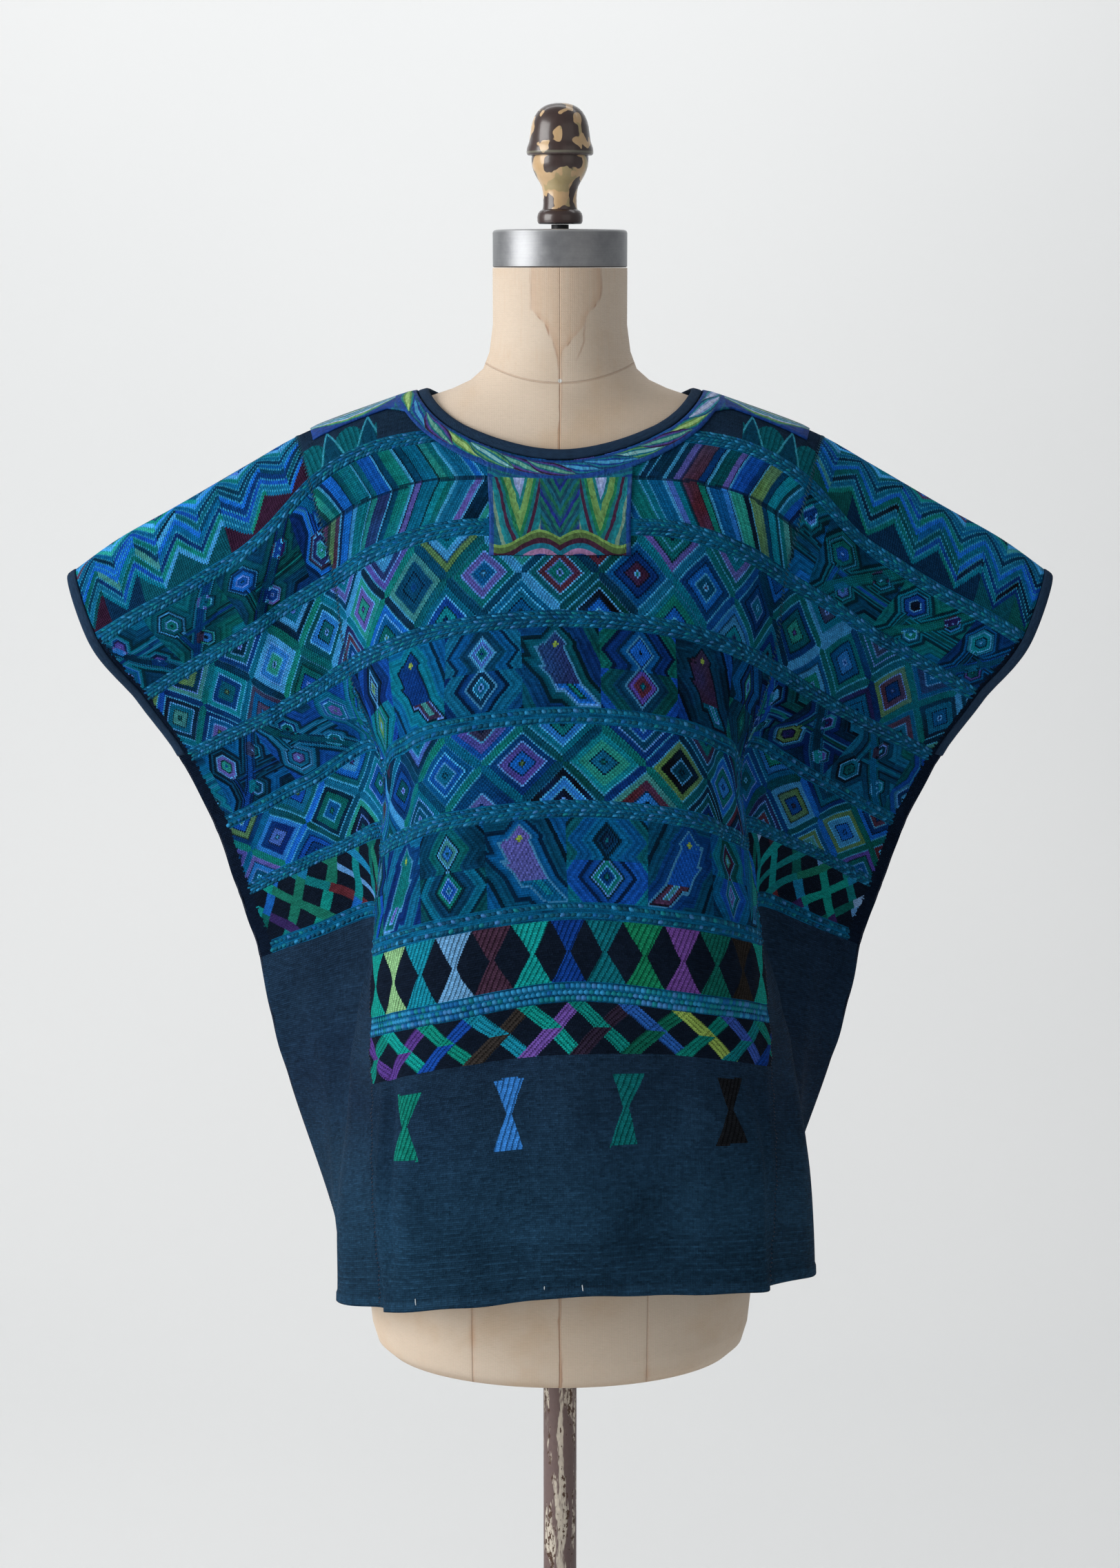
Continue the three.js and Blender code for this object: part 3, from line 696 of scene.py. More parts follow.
def plain_colour(net, u, along, v):
    """Colour and relief of the dark cloth."""
    got = net.use(PLAIN_GROUP, {"Across": u, "Along": along, "Down": v})
    return got["Colour"], got["Height"]


def plain_cloth(net):
    """The dark cloth with the fold line of its turned hem."""
    u, v = net.place("cloth")
    threads = net.use(THREADS_GROUP, {"Across": u, "Along": v, "Wander": 0.6})
    colour, relief = plain_colour(net, threads["Across"], threads["Along"], abs(threads["Along"]))
    fold = (1 - abs(abs(v) - HEM_FOLD).step(0.0, 0.9)) * 0.5
    return (net.scale(colour, threads["Fleck"] * (1 - fold * 0.5)),
            relief + threads["Height"] * 0.5 - fold * 0.6)


for finish_name, pattern_of in (("zigzags", zigzags), ("hills", hills), ("band ground", band_ground),
                                ("slanted bars", slanted_bars), ("stems", stems), ("diamonds", diamonds),
                                ("birds", birds), ("lattice", lattice), ("hourglasses", hourglasses),
                                ("crossed bars", crossed_bars), ("spotted cloth", spotted_cloth)):
    woven(finish_name, pattern_of)
finish("plain cloth", plain_cloth, rough=0.85, specular=0.04)


def binding(net):
    """Fine twilled tape."""
    run, round_it = net.place("strip")
    twill = (run * 2.1 + round_it * 1.3).ribs()
    slub = net.noise(net.point(run * 0.4, round_it), 1.3, 2.0)
    colour = net.mix(slub, ink("#16283e"), ink("#26405c"))
    return net.scale(colour, twill * 0.25 + 0.85), twill * 0.22 + slub * 0.3


finish("binding", binding, rough=0.85, sheen=0.05, sheen_tint=ink("#8fa6c8"), specular=0.1)


# Colours of five kinds of leaf, four of each from its edge inwards
LEAF_COLOURS = ["#0e3488", "#107478", "#5f8c50", "#98c078", "#0a4674", "#168494", "#7f98cc", "#b0bee0",
                "#0c5a58", "#4f8c60", "#0f6a84", "#7fb8c0", "#2c1c3c", "#4a3c8c", "#0d6478", "#5ea090",
                "#0b3c6c", "#0f6a84", "#103f8c", "#3f94c4"]


def embroidered(net):
    """A ring of leaf-like flames, tongues on the shoulders, and a square with two plumes over a wavy band."""
    u, v = net.place("cloth")
    ruffle = (net.noise(net.point(u, v), 0.09, 2.0) - 0.5) * 5
    depth = (v > 0) * (NECK_CUT["front"] - NECK_CUT["back"]) + NECK_CUT["back"]
    away = net.math("SQRT", (u * u) / NECK_CUT["half"] ** 2 + (v * v) / (depth * depth))
    out = (away - 1) * (depth + 16)
    angle = net.math("ARCTAN2", u, v)
    ring = net.pick((out / 9 + ruffle * 0.1).fract(), ["#0b4f78", "#0e6a80", "#0c3c80", "#0f6874"])
    for shift in (0.0, 0.5):
        run = angle * (14 / math.tau) + out * 0.02 + shift
        share = run.fract()
        deep = 1 - abs(out - 3.6 - share * 9 + ruffle * 0.35) / ((share * math.pi).sin() * 4.6 + 0.4)
        kind = (net.chance(run.floor(), shift * 50 + 3) * 5).floor()
        leaf = net.pick((kind * 4 + deep.high(0).low(0.99) * 4) / 20, LEAF_COLOURS)
        ring = net.mix(deep > 0, ring, leaf)
    x = abs(u)
    plume = abs(x - 28 + ruffle * 0.3)
    drop = abs(v) - depth
    vee = (drop - 14) * 0.3 + plume * (1.25 - drop * 0.006) + ruffle * 0.35
    plumes = net.pick(vee / 32.0, ["#98aad8", "#7f98cc", "#107478", "#679458", "#5f8c50", "#14704e",
                                   "#0e6874", "#3c1c3a", "#106c7c", "#147c88", "#6c9080", "#0d5870",
                                   "#0b5070", "#103a84"])
    between = net.pick(((drop - plume * 0.2 + x * 1.6 + ruffle) / 26.0).fract(),
                       ["#0b5c74", "#12604c", "#0a4c66", "#142a7c", "#0f6258", "#084058"])
    plumes = net.mix(net.span(x, 13, 14.5), between, plumes)
    wave = drop - 62 + (x * 0.115).sin() * 6 + ruffle * 0.3
    waves = net.pick((wave + 20) / 40, ["#0a5474", "#0b6080", "#0c6884", "#6c9450", "#48643a", "#361830",
                                        "#0c6884", "#94709c", "#0e3878", "#0b2c64"])
    square = net.mix(wave > -6, plumes, waves)
    petal = ((x - 114) / 72 * math.pi).sin()
    tongue_line = 1 - abs(v) / (petal * 19 + 8.5) + ruffle * 0.035
    tongue = net.pick(tongue_line, ["#103a84", "#12786c", "#6f9c58", "#9cb0dc", "#147c94", "#74a8bc",
                                    "#0f6884", "#8fa0d4", "#7ca858", "#14704e", "#9088cc", "#0d5080"])
    in_square = (x < SQUARE) * (drop > 13.5)
    in_tongue = (x > 118) * (abs(v) < 27)
    colour = net.mix(in_square, ring, square)
    colour = net.mix(in_tongue, colour, tongue)
    border = ((abs(out - 1.2) < 1.6) + (abs(out - 15.6) < 2.0) * (1 - in_square) * (1 - in_tongue)
              + (abs(x - 48) < 2.2) * in_square + (abs(v) > 24.5) * in_tongue).low(1)
    colour = net.tint(colour, border * 0.85, "#14408c")
    lay = net.math("ARCTAN2", u, v * 1.2) * 40
    strand = net.noise(net.point(lay + ruffle, out * 0.25), 0.9, 2.0)
    stitch = net.chance((u / 1.5).floor(), (v / 2.6 + strand).floor())
    shade = strand * 0.7 + stitch * 0.35 + 0.45
    height = strand * 0.9 + stitch * 0.25
    return net.scale(colour, shade), height


finish("needlework", embroidered, rough=0.62, specular=0.15)


def twined(net):
    """Thread of the twined bands: a stitch with an even number is deep, one with an odd number bright."""
    number, own = net.place("stitch")
    luck = net.chance(number.floor(), (own / 6).floor())
    bright = net.pick(luck, ["#106c94", "#2078b0", "#0f7084", "#2f8cc4", "#14549c", "#3a86bc", "#127a84",
                             "#3f78b8"])
    deep = net.pick(luck, ["#094468", "#08385c", "#0a5070", "#093458", "#0a4a68", "#08304e", "#0a4870",
                           "#084052"])
    tone = net.mix(net.math("FLOORED_MODULO", number.floor(), 2.0) > 0.5, deep, bright)
    here = net.object_point()
    fuzz = net.noise(here, 900.0, 2.0, 0.5, "3D")
    cloud = net.noise(here, 12.0, 2.0, 0.5, "3D")
    tone = net.tint(tone, cloud * 0.5, "#0c6f8c")
    return net.scale(tone, fuzz * 0.6 + 0.7), fuzz * 0.25


finish("band stitches", twined, rough=0.78, specular=0.1)


# Numbers of the sewing threads: teal, navy and white
TEAL, NAVY, WHITE = 38, 40, 41


def sewing_thread(net):
    """Sewing thread, its colour by the stitch's number."""
    number, _ = net.place("stitch")
    fuzz = net.noise(net.object_point(), 1500.0, 2.0, 0.5, "3D")
    tone = net.mix(number > WHITE, net.mix(number > NAVY, ink("#0d4258"), ink("#142238")), ink("#c9d3da"))
    return net.scale(tone, fuzz * 0.4 + 0.8), fuzz * 0.1


finish("sewing thread", sewing_thread, rough=0.7, specular=0.3)


def linen(net):
    """Beige linen over the form: weave, sewn lines, and a water stain down the neck."""
    here, (x, y, z) = net.object_point(), net.object_place()
    thread = 1.3
    warp, weft = (x * 1000 / thread).ribs(), (z * 1000 / thread).ribs()
    slub = net.noise(net.point(x * 300, y * 300, z * 1400), 1.0, 2.0, 0.5, "3D")
    haze = net.noise(here, 9.0, 4.0, 0.55, "3D")
    patch = net.noise(here, 26.0, 3.0, 0.6, "3D")
    colour = net.mix(haze * 1.5 - 0.3, ink("#dccdbc"), ink("#d2bea8"))
    front, neck_top = y < 0, 1487
    drop = neck_top - z * 1000
    across = x * 1000 + (patch - 0.5) * 7 + (haze - 0.5) * 4
    left = drop.step(27, 42) * 12 + drop.step(38, 66) * 8.5 - 21
    right = 27.5 - drop.step(18, 38) * 10 - drop.step(36, 63) * 16.5
    reach = (across - left).low(right - across)
    streak = net.noise(net.point(x * 260, y * 40, z * 12), 1.0, 3.0, 0.6, "3D")
    stain = reach.step(-0.4, 1.4) * front
    rim = (1 - abs(reach).step(0.2, 1.3)) * front * streak.step(0.38, 0.6)
    trail = ((1 - abs(across - 17 + drop.step(48, 68) * 6).step(0.2, 1.2)) * drop.step(36, 44)
             * (1 - drop.step(56, 68)) * front * 0.6)
    inner = (1 - reach.step(0.0, 7.0)) * stain
    grain = net.noise(net.point(x * 420, y * 420, z * 30), 1.0, 3.0, 0.6, "3D")
    princess = abs(abs(x) - 0.064 + (z - 0.75) * (z - 0.75) * 0.05)
    low = z < 1.36
    seam = ((1 - abs(x).step(0.0002, 0.0007)) * 0.35).high((1 - princess.step(0.0002, 0.0009)) * low * 0.7)
    seam = seam.high((1 - abs(y).step(0.0002, 0.0007)) * low)
    seam = seam.high((1 - abs(z - 1.4075 - x * x * 4.5).step(0.0002, 0.001)) * 0.7)
    halo = (1 - princess.step(0.0, 0.004)) * low * patch.step(0.35, 0.65)
    pin = (1 - net.math("SQRT", x * x + (z - 1.409) * (z - 1.409)).step(0.0012, 0.0016)) * front
    for share, tone in ((stain * streak * 0.55, "#cda682"), (inner * streak * 0.5, "#bd8a66"),
                        (rim.high(trail) * 0.6, "#a06e50"),
                        (grain.step(0.5, 0.8) * 0.3 * z.step(1.40, 1.43), "#cfae8c"),
                        ((patch + haze).step(0.95, 1.35) * 0.3, "#c9a67e"),
                        ((1 - z.step(0.676, 0.688)) * 0.4, "#b0906c"), (halo * 0.35, "#c08a62"),
                        (seam * 0.42, "#9a6c4c"), (pin, "#d8d8d4")):
        colour = net.tint(colour, share, tone)
    woven_relief = warp.low(weft)
    shade = woven_relief * 0.06 + slub * 0.12 + 0.9
    return net.scale(colour, shade), woven_relief * 0.16 + slub * 0.25 - seam * 0.6


finish("form linen", linen, rough=0.88, sheen=0.1, specular=0.2)


def wear(net, x, y, z, spread):
    """Fine scratches and worn patches."""
    marks = net.noise(net.point(x, y, z), 1.0, 5.0, 0.7, "3D")
    return marks, ((marks - 0.5) / (spread * 2) + 0.5).high(0).low(1)


WEAR_GROUP = effect("worn patches", {"X": 0.0, "Y": 0.0, "Z": 0.0, "Spread": 0.1},
                    ("Marks", "Worn"), wear)


def scuffed(net, x, y, z, scale, spread):
    """Scratches and worn patches of a hard piece. More scale makes them finer."""
    got = net.use(WEAR_GROUP, {"X": x * scale, "Y": y * scale, "Z": z * scale, "Spread": spread})
    return got["Marks"], got["Worn"]


def cap_metal(net):
    """Brushed grey metal, with a painted highlight along its upper edge."""
    x, y, z = net.object_place()
    marks, worn = scuffed(net, x, y, z, 60.0, 0.12)
    brushed = net.noise(net.point(x * 40, y * 40, z * 4000), 1.0, 2.0, 0.5, "3D")
    colour = net.mix(worn, ink("#8c8e92"), ink("#9a9c9f"))
    colour = net.tint(colour, (marks * 2 - 1.2), "#747679")
    # Painted highlight: the rounded upper edge is made paler.
    colour = net.tint(colour, z.step(1.5112, 1.5126) * 0.6, "#c8cacc")
    return net.scale(colour, brushed * 0.25 + 0.85), brushed * 0.03 + marks * 0.04, marks * 0.2 + 0.33


finish("cap metal", cap_metal, metallic=0.75)


def stem_metal(net):
    """Dark steel."""
    x, y, z = net.object_place()
    marks, worn = scuffed(net, x, y, z, 220.0, 0.1)
    return net.mix(worn, ink("#17191c"), ink("#2b2d30")), marks * 0.05, marks * 0.3 + 0.35


finish("stem metal", stem_metal, metallic=0.4)


def knob_paint(net):
    """Cream paint with dark and olive patches, darkest on the dome and the collar, under worn varnish, and
    painted shade under the collar.
    """
    x, y, z = net.object_place()
    blotch = net.noise(net.point(x + 0.4, y + 0.3, z * 0.85), 78.0, 1.6, 0.45, "3D")
    other = net.noise(net.point(x + 3.0, y, z * 0.8), 95.0, 1.2, 0.4, "3D")
    grain = net.noise(net.point(x * 200, y * 200, z * 30), 1.0, 3.0, 0.5, "3D")
    high = z.step(1.5645, 1.5652)
    foot = 1 - z.step(1.5268, 1.5282)
    colour = net.mix(grain, ink("#d6b88e"), ink("#bf9a6c"))
    colour = net.tint(colour, other.step(0.6, 0.62) * 0.6, "#9a9468")
    cut = blotch + high * 0.095 + foot * 0.14
    brown = cut.step(0.537, 0.55)
    colour = net.mix(brown, colour, net.mix(grain, ink("#2f211c"), ink("#453230")))
    # Painted shade: the collar's underside and foot are made near black.
    colour = net.tint(colour, 1 - z.step(1.5176, 1.5188), "#14161c")
    colour = net.tint(colour, (1 - abs(z - 1.5672).step(0.0003, 0.0012)) * 0.5, "#8a8a78")
    marks = scuffed(net, x, y, z, 180.0, 0.08)[0]
    return net.scale(colour, marks * 0.3 + 0.85), brown * 0.06 + marks * 0.06, marks * 0.25 + 0.22


finish("knob paint", knob_paint, coat=0.6, coat_rough=0.16)


def pole_paint(net):
    """Brown paint, flaked off in long pale streaks, with rust, and a painted highlight down the middle of its
    front.
    """
    x, y, z = net.object_place()
    streak = net.noise(net.point(x, y, z * 0.14), 130.0, 4.0, 0.65, "3D")
    fine = net.noise(net.point(x, y, z * 0.5), 420.0, 3.0, 0.6, "3D")
    # Partly flaked paint, partly a painted highlight: the pale streaks are made more likely down the middle
    # of the front.
    worn = (streak + (1 - abs(x).step(0.0, 0.006)) * 0.16 * (y < 0)).step(0.56, 0.62)
    colour = net.mix(fine, ink("#5f4c4c"), ink("#75635f"))
    colour = net.mix(worn, colour, net.mix(fine * 2 - 0.6, ink("#cfc6b6"), ink("#a39a90")))
    colour = net.tint(colour, (fine * streak * 2).step(0.62, 0.7), "#4a3020")
    return colour, fine * 0.12 - worn * 0.15, fine * 0.3 + 0.4


finish("pole paint", pole_paint, metallic=0.1)


def base_iron(net):
    """Blackened cast iron with a rubbed rim."""
    x, y, z = net.object_place()
    cast = net.noise(net.object_point(), 260.0, 4.0, 0.6, "3D")
    marks, worn = scuffed(net, x, y, z, 30.0, 0.1)
    radius = net.math("SQRT", x * x + y * y)
    rim = radius.step(0.1955, 0.1985) * marks.step(0.4, 0.62)
    colour = net.mix(worn * 0.6, ink("#1f2022"), ink("#2f3032"))
    colour = net.tint(colour, rim * 0.8, "#66645f")
    return colour, cast * 0.25 + marks * 0.1, cast * 0.25 + 0.38


finish("base iron", base_iron, metallic=0.3)


def backdrop_paint(net):
    """Pale, a little cloudy grey."""
    return net.mix(net.noise(net.object_point(), 0.7, 2.0, 0.5, "3D"), ink("#f1f2f2"), ink("#e6e8e9")), None


finish("backdrop", backdrop_paint, rough=0.95, specular=0.1)


def open_behind(material):
    """Nothing is seen of the backdrop from its back, so that the object shows from every side."""
    tree = material.node_tree
    facing, clear, either = (tree.nodes.new(kind) for kind in
                             ("ShaderNodeNewGeometry", "ShaderNodeBsdfTransparent", "ShaderNodeMixShader"))
    shader, end = tree.nodes["Principled BSDF"], tree.nodes["Material Output"]
    for start, socket in ((facing.outputs["Backfacing"], either.inputs[0]),
                          (shader.outputs[0], either.inputs[1]), (clear.outputs[0], either.inputs[2]),
                          (either.outputs[0], end.inputs["Surface"])):
        tree.links.new(start, socket)


open_behind(FINISH["backdrop"])


# The hang of the cloth

# How far across the flat cloth the threads run whose hang is given
THREADS = [0, 90, 140, SEAM, 235, 300, 345, SIDE_EDGE]

# Hang of the middle length: place along, middle y z, bust x y z, turn x y z, seam x y z
CENTRE_ROWS = np.array([
    [-680, 126, 783, 74, 150, 780, 97, 196, 775, 104, 144, 769],
    [-600, 125, 862, 76, 147, 859, 101, 189, 853, 109, 140, 845],
    [-508, 123, 954, 78, 142, 950, 106, 179, 942, 115, 134, 932],
    [-456, 122, 1006, 80, 138, 1002, 109, 170, 993, 120, 128, 982],
    [-400, 120, 1062, 82, 133, 1057, 113, 160, 1047, 126, 122, 1034],
    [-332, 117, 1130, 85, 128, 1124, 120, 145, 1112, 138, 116, 1096],
    [-265, 114, 1197, 87, 122, 1190, 127, 130, 1177, 153, 110, 1157],
    [-197, 110, 1264, 89, 113, 1256, 132, 112, 1240, 167, 98, 1217],
    [-130, 96, 1330, 90, 93, 1321, 137, 86, 1304, 178, 75, 1279],
    [-62, 56, 1385, 90, 54, 1373, 139, 52, 1359, 186, 48, 1338],
    [0, 0, 1405, 90, 0, 1402, 138, 0, 1387, 189, 0, 1367],
    [62, -52, 1371, 92, -47, 1370, 135, -46, 1361, 176, -44, 1336],
    [130, -75, 1308, 88, -70, 1305, 129, -61, 1290, 160, -46, 1270],
    [197, -112, 1249, 88, -102, 1238, 125, -84, 1223, 150, -52, 1207],
    [265, -138, 1186, 88, -130, 1174, 116, -108, 1158, 127, -58, 1136],
    [332, -148, 1123, 89, -140, 1112, 115, -116, 1097, 130, -70, 1081],
    [400, -151, 1052, 89, -143, 1040, 122, -118, 1026, 138, -74, 1011],
    [456, -153, 995, 89, -146, 981, 123, -122, 969, 142, -80, 954],
    [508, -154, 953, 90, -147, 942, 124, -125, 930, 143, -85, 915],
    [600, -155, 858, 88, -150, 852, 133, -130, 845, 145, -92, 834],
    [680, -155, 773, 89, -151, 768, 133, -133, 760, 140, -98, 752],
], float)

# Hang of a side length: place along, valley x y z, wing x y z, outer x y z
SIDE_ROWS = np.array([
    [-680, 106, 104, 762, 138, 158, 738, 165, 130, 722],
    [-600, 112, 100, 836, 146, 154, 812, 174, 130, 798],
    [-508, 119, 95, 921, 156, 147, 898, 185, 126, 884],
    [-456, 126, 92, 970, 165, 140, 948, 196, 120, 934],
    [-400, 133, 90, 1021, 173, 128, 1000, 204, 112, 986],
    [-332, 147, 90, 1080, 190, 112, 1052, 218, 98, 1035],
    [-265, 166, 90, 1136, 209, 96, 1107, 237, 82, 1089],
    [-197, 187, 85, 1193, 228, 76, 1161, 256, 58, 1144],
    [-130, 203, 69, 1255, 250, 60, 1221, 280, 52, 1199],
    [-62, 216, 46, 1317, 268, 42, 1281, 303, 40, 1257],
    [0, 224, 0, 1347, 280, 0, 1315, 320, 0, 1293],
    [62, 208, -41, 1302, 267, -33, 1261, 304, -27, 1241],
    [130, 189, -38, 1253, 239, -25, 1220, 274, -12, 1199],
    [197, 176, -35, 1189, 219, -5, 1162, 249, 14, 1145],
    [265, 136, -25, 1148, 185, 5, 1117, 221, 32, 1094],
    [332, 131, -34, 1087, 170, 16, 1063, 207, 46, 1041],
    [400, 138, -36, 1009, 147, 28, 1016, 187, 54, 995],
    [456, 153, -44, 946, 152, 22, 948, 185, 55, 936],
    [508, 159, -50, 906, 161, 14, 897, 183, 52, 883],
    [600, 170, -58, 820, 174, 4, 812, 178, 52, 797],
    [680, 171, -62, 742, 177, 0, 728, 172, 46, 718],
], float)

# The side edge: place along, x, y, z. Below the underarm the front and the back share one edge.
EDGE_ROWS = np.array([
    [-197, 283, 34, 1126],
    [-130, 308, 42, 1178],
    [-62, 335, 38, 1228],
    [0, 357, 0, 1267],
    [62, 339, -20, 1220],
    [130, 311, 5, 1175],
    [197, 283, 34, 1126],
    [265, 261, 58, 1070],
    [332, 246, 72, 1017],
    [400, 233, 80, 972],
    [456, 224, 84, 920],
    [508, 212, 92, 869],
    [600, 185, 92, 784],
    [680, 162, 84, 710],
], float)


def smooth(t):
    """0 below 0, 1 above 1, smooth between."""
    c = np.clip(t, 0, 1)
    return c * c * (3 - 2 * c)


def curve(knots, values, at):
    """A smooth curve through values at uneven knots. values is (knots, size), or one such table a point."""
    knots = np.asarray(knots, float)
    gaps = np.diff(knots)[:, None]
    slopes = np.diff(values, axis=-2) / gaps
    inner = (slopes[..., :-1, :] * gaps[1:] + slopes[..., 1:, :] * gaps[:-1]) / (gaps[1:] + gaps[:-1])
    lean = np.concatenate([slopes[..., :1, :], inner, slopes[..., -1:, :]], axis=-2)
    i = np.clip(np.searchsorted(knots, at) - 1, 0, len(knots) - 2)
    step = (knots[i + 1] - knots[i])[:, None]
    t = (at - knots[i])[:, None] / step
    if values.ndim == 2:
        a, b, m, n = values[i], values[i + 1], lean[i], lean[i + 1]
    else:
        k = np.arange(len(i))
        a, b, m, n = values[k, i], values[k, i + 1], lean[k, i], lean[k, i + 1]
    return ((1 + 2 * t) * (1 - t) ** 2 * a + t * (1 - t) ** 2 * step * m
            + t * t * (3 - 2 * t) * b + t * t * (t - 1) * step * n)


def threads_at(along):
    """The points of the lengthwise threads at these places along: (places, threads, 3)."""
    middle = curve(CENTRE_ROWS[:, 0], CENTRE_ROWS[:, 1:], along)
    outer = curve(SIDE_ROWS[:, 0], SIDE_ROWS[:, 1:], along)
    edge = curve(EDGE_ROWS[:, 0], EDGE_ROWS[:, 1:], np.where(along < EDGE_ROWS[0, 0], -along, along))
    first = np.stack([np.zeros(len(along)), middle[:, 0], middle[:, 1]], 1)
    points = [first, middle[:, 2:5], middle[:, 5:8], middle[:, 8:11]]
    points += [outer[:, 0:3], outer[:, 3:6], outer[:, 6:9], edge]
    return np.stack(points, 1)


def cloth(across, along):
    """The middle of the cloth's thickness, for places on the flat cloth."""
    across, along = (np.atleast_1d(np.asarray(a, float)) for a in (across, along))
    threads = threads_at(along)
    mirrored = threads[:, 1:2] * np.array([-1, 1, 1])
    away = np.abs(across)
    p = curve([-THREADS[1], *THREADS], np.concatenate([mirrored, threads], 1), away)
    x, y, z = p[:, 0] * np.where(across < 0, -1, 1), p[:, 1], p[:, 2]
    # Below the arm openings front and back keep apart by their own thickness at the side edge
    sewn = smooth((away - 372) / 20) * smooth((np.abs(along) - ARMHOLE + 4) / 14)
    y = y - np.sign(along) * 1.5 * sewn
    # The huipil hangs a little askew, more so towards the hem
    slip = smooth((np.abs(along) - 150) / 530)
    x = x + 11 * slip * (1 - smooth((away - 290) / 90))
    z = z + 9 * slip * np.clip(x / 150, -1.2, 1.2)
    return np.stack([x, y, z], 1)


def unit(a):
    """Each row made 1 long."""
    return a / np.linalg.norm(a, axis=1, keepdims=True)


def axes_at(across, along, h=1.5):
    """Unit vectors at places on the cloth: across it, along it, and out of it."""
    u = unit(cloth(across + h, along) - cloth(across - h, along))
    v = unit(cloth(across, along + h) - cloth(across, along - h))
    return u, v, unit(np.cross(v, u))


# Soft creases: from across along, to across along, half width, depth (minus sinks into the cloth)
CREASES = [
    [-150, 500, -138, 672, 13, -4.6],
    [-168, 440, -164, 676, 10, 2.6],
    [-118, 235, -152, 470, 11, -2.6],
    [-66, 470, -88, 668, 22, 2.0],
    [-20, 500, -34, 640, 17, -1.6],
    [6, 480, 2, 676, 46, 11.0],
    [-128, 500, -122, 676, 20, 3.5],
    [-150, 470, -146, 676, 17, -3.0],
    [70, 480, 60, 676, 22, -2.4],
    [92, 530, 108, 672, 19, 2.4],
    [116, 238, 150, 455, 11, -2.8],
    [146, 490, 156, 672, 12, -3.4],
    [174, 450, 180, 676, 9, 2.2],
    [-75, 205, -100, 250, 14, -1.2],
    [60, 210, 84, 262, 13, -1.2],
    [-226, 26, -322, 132, 13, -3.0],
    [-250, 58, -304, 236, 12, 2.6],
    [-212, 140, -236, 430, 10, -2.4],
    [-262, 300, -226, 560, 13, 2.2],
    [-330, 220, -300, 470, 15, -2.6],
    [-352, 380, -332, 660, 13, 2.4],
    [228, 34, 318, 146, 12, -2.8],
    [262, 50, 312, 220, 12, 2.4],
    [214, 150, 232, 410, 10, -2.2],
    [258, 330, 232, 600, 14, 2.4],
    [334, 240, 306, 500, 14, -2.4],
    [350, 420, 338, 668, 12, 2.2],
    [-40, -120, -60, -330, 18, 1.6],
    [52, -150, 66, -360, 17, 1.5],
    [-84, -430, -92, -672, 18, -2.4],
    [0, -470, 6, -660, 24, 1.8],
    [86, -440, 90, -672, 17, -2.2],
    [-160, -360, -168, -660, 12, 2.2],
    [158, -380, 170, -664, 12, 2.2],
    [-224, -30, -318, -140, 13, -2.6],
    [226, -28, 322, -150, 13, -2.6],
    [-270, -120, -300, -330, 13, 2.2],
    [272, -110, 304, -300, 13, 2.2],
    [-240, -380, -222, -650, 13, -2.2],
    [238, -390, 226, -655, 13, -2.2],
    [-330, -330, -316, -620, 14, 2.4],
    [332, -340, 318, -610, 14, 2.4],
]


def creases(across, along):
    """How far the cloth stands out or sinks in where it is creased, puckered or pulled by a band."""
    out = np.zeros(len(across))
    for u1, v1, u2, v2, width, depth in CREASES:
        run = np.array([u2 - u1, v2 - v1], float)
        length = np.hypot(*run)
        t = ((across - u1) * run[0] + (along - v1) * run[1]) / length
        off = ((across - u1) * run[1] - (along - v1) * run[0]) / length
        off = off + 3.5 * np.sin(t / 31 + u1)
        ends = smooth(t / 45 + 0.2) * smooth((length - t) / 60 + 0.25)
        out += depth * ends * np.exp(-(off / width) ** 2)
    down = np.abs(along)
    # Puckers along the joined edges
    near_seam = np.exp(-((np.abs(across) - SEAM) / 7) ** 2)
    pucker = 0.45 * np.sin(along / 2.9) + 0.35 * np.sin(along / 5.3 + 1)
    out += near_seam * pucker * smooth((down - 150) / 60)
    # The cloth swells between the bands, which draw it in
    edge = np.array([0, *BANDS, sum(WIDE_BAND) / 2, BROCADE_END], float)
    k = np.clip(np.searchsorted(edge, down) - 1, 0, len(edge) - 2)
    share = np.clip((down - edge[k]) / (edge[k + 1] - edge[k]), 0, 1)
    out += np.where(down < BROCADE_END, 0.9 * np.sin(np.pi * share) * smooth((down - 40) / 60), 0)
    # Small uneven swellings of the brocade
    out += (0.45 * np.sin(across / 6.5 + 1.3 * np.sin(along / 31)) * np.sin(along / 8.5 + across / 40)
            * smooth((down - 66) / 20) * smooth((BROCADE_END + 4 - down) / 10))
    # A wave along the hem
    out += np.sin(across / 19 + 0.6 * np.sin(across / 41)) * smooth((down - 610) / 60)
    return out * smooth((down - 6) / 30)


def band_rise(across, along):
    """The turned hem and the twined bands stand up from the cloth."""
    down = np.abs(along)
    hem = np.where(down > HEM_FOLD, 0.8 * smooth((down - HEM_FOLD + 2) / 3), 0)
    nearest = np.min([np.abs(down - b) for b in BANDS], axis=0)
    band = 0.5 * smooth((BAND_HALF + 0.2 - nearest) / 3)
    wide = np.minimum(down - WIDE_BAND[0], WIDE_BAND[1] - down)
    band = np.maximum(band, 0.5 * smooth(wide / 3) * (np.abs(across) < SEAM))
    return hem + band


def surface(across, along, lift=0.0):
    """Points over the cloth's outer face, lift above it."""
    across, along = (np.atleast_1d(np.asarray(a, float)) for a in (across, along))
    out = axes_at(across, along)[2]
    up = WALL / 2 + creases(across, along) + band_rise(across, along) + lift
    return cloth(across, along) + out * np.atleast_1d(up)[:, None]


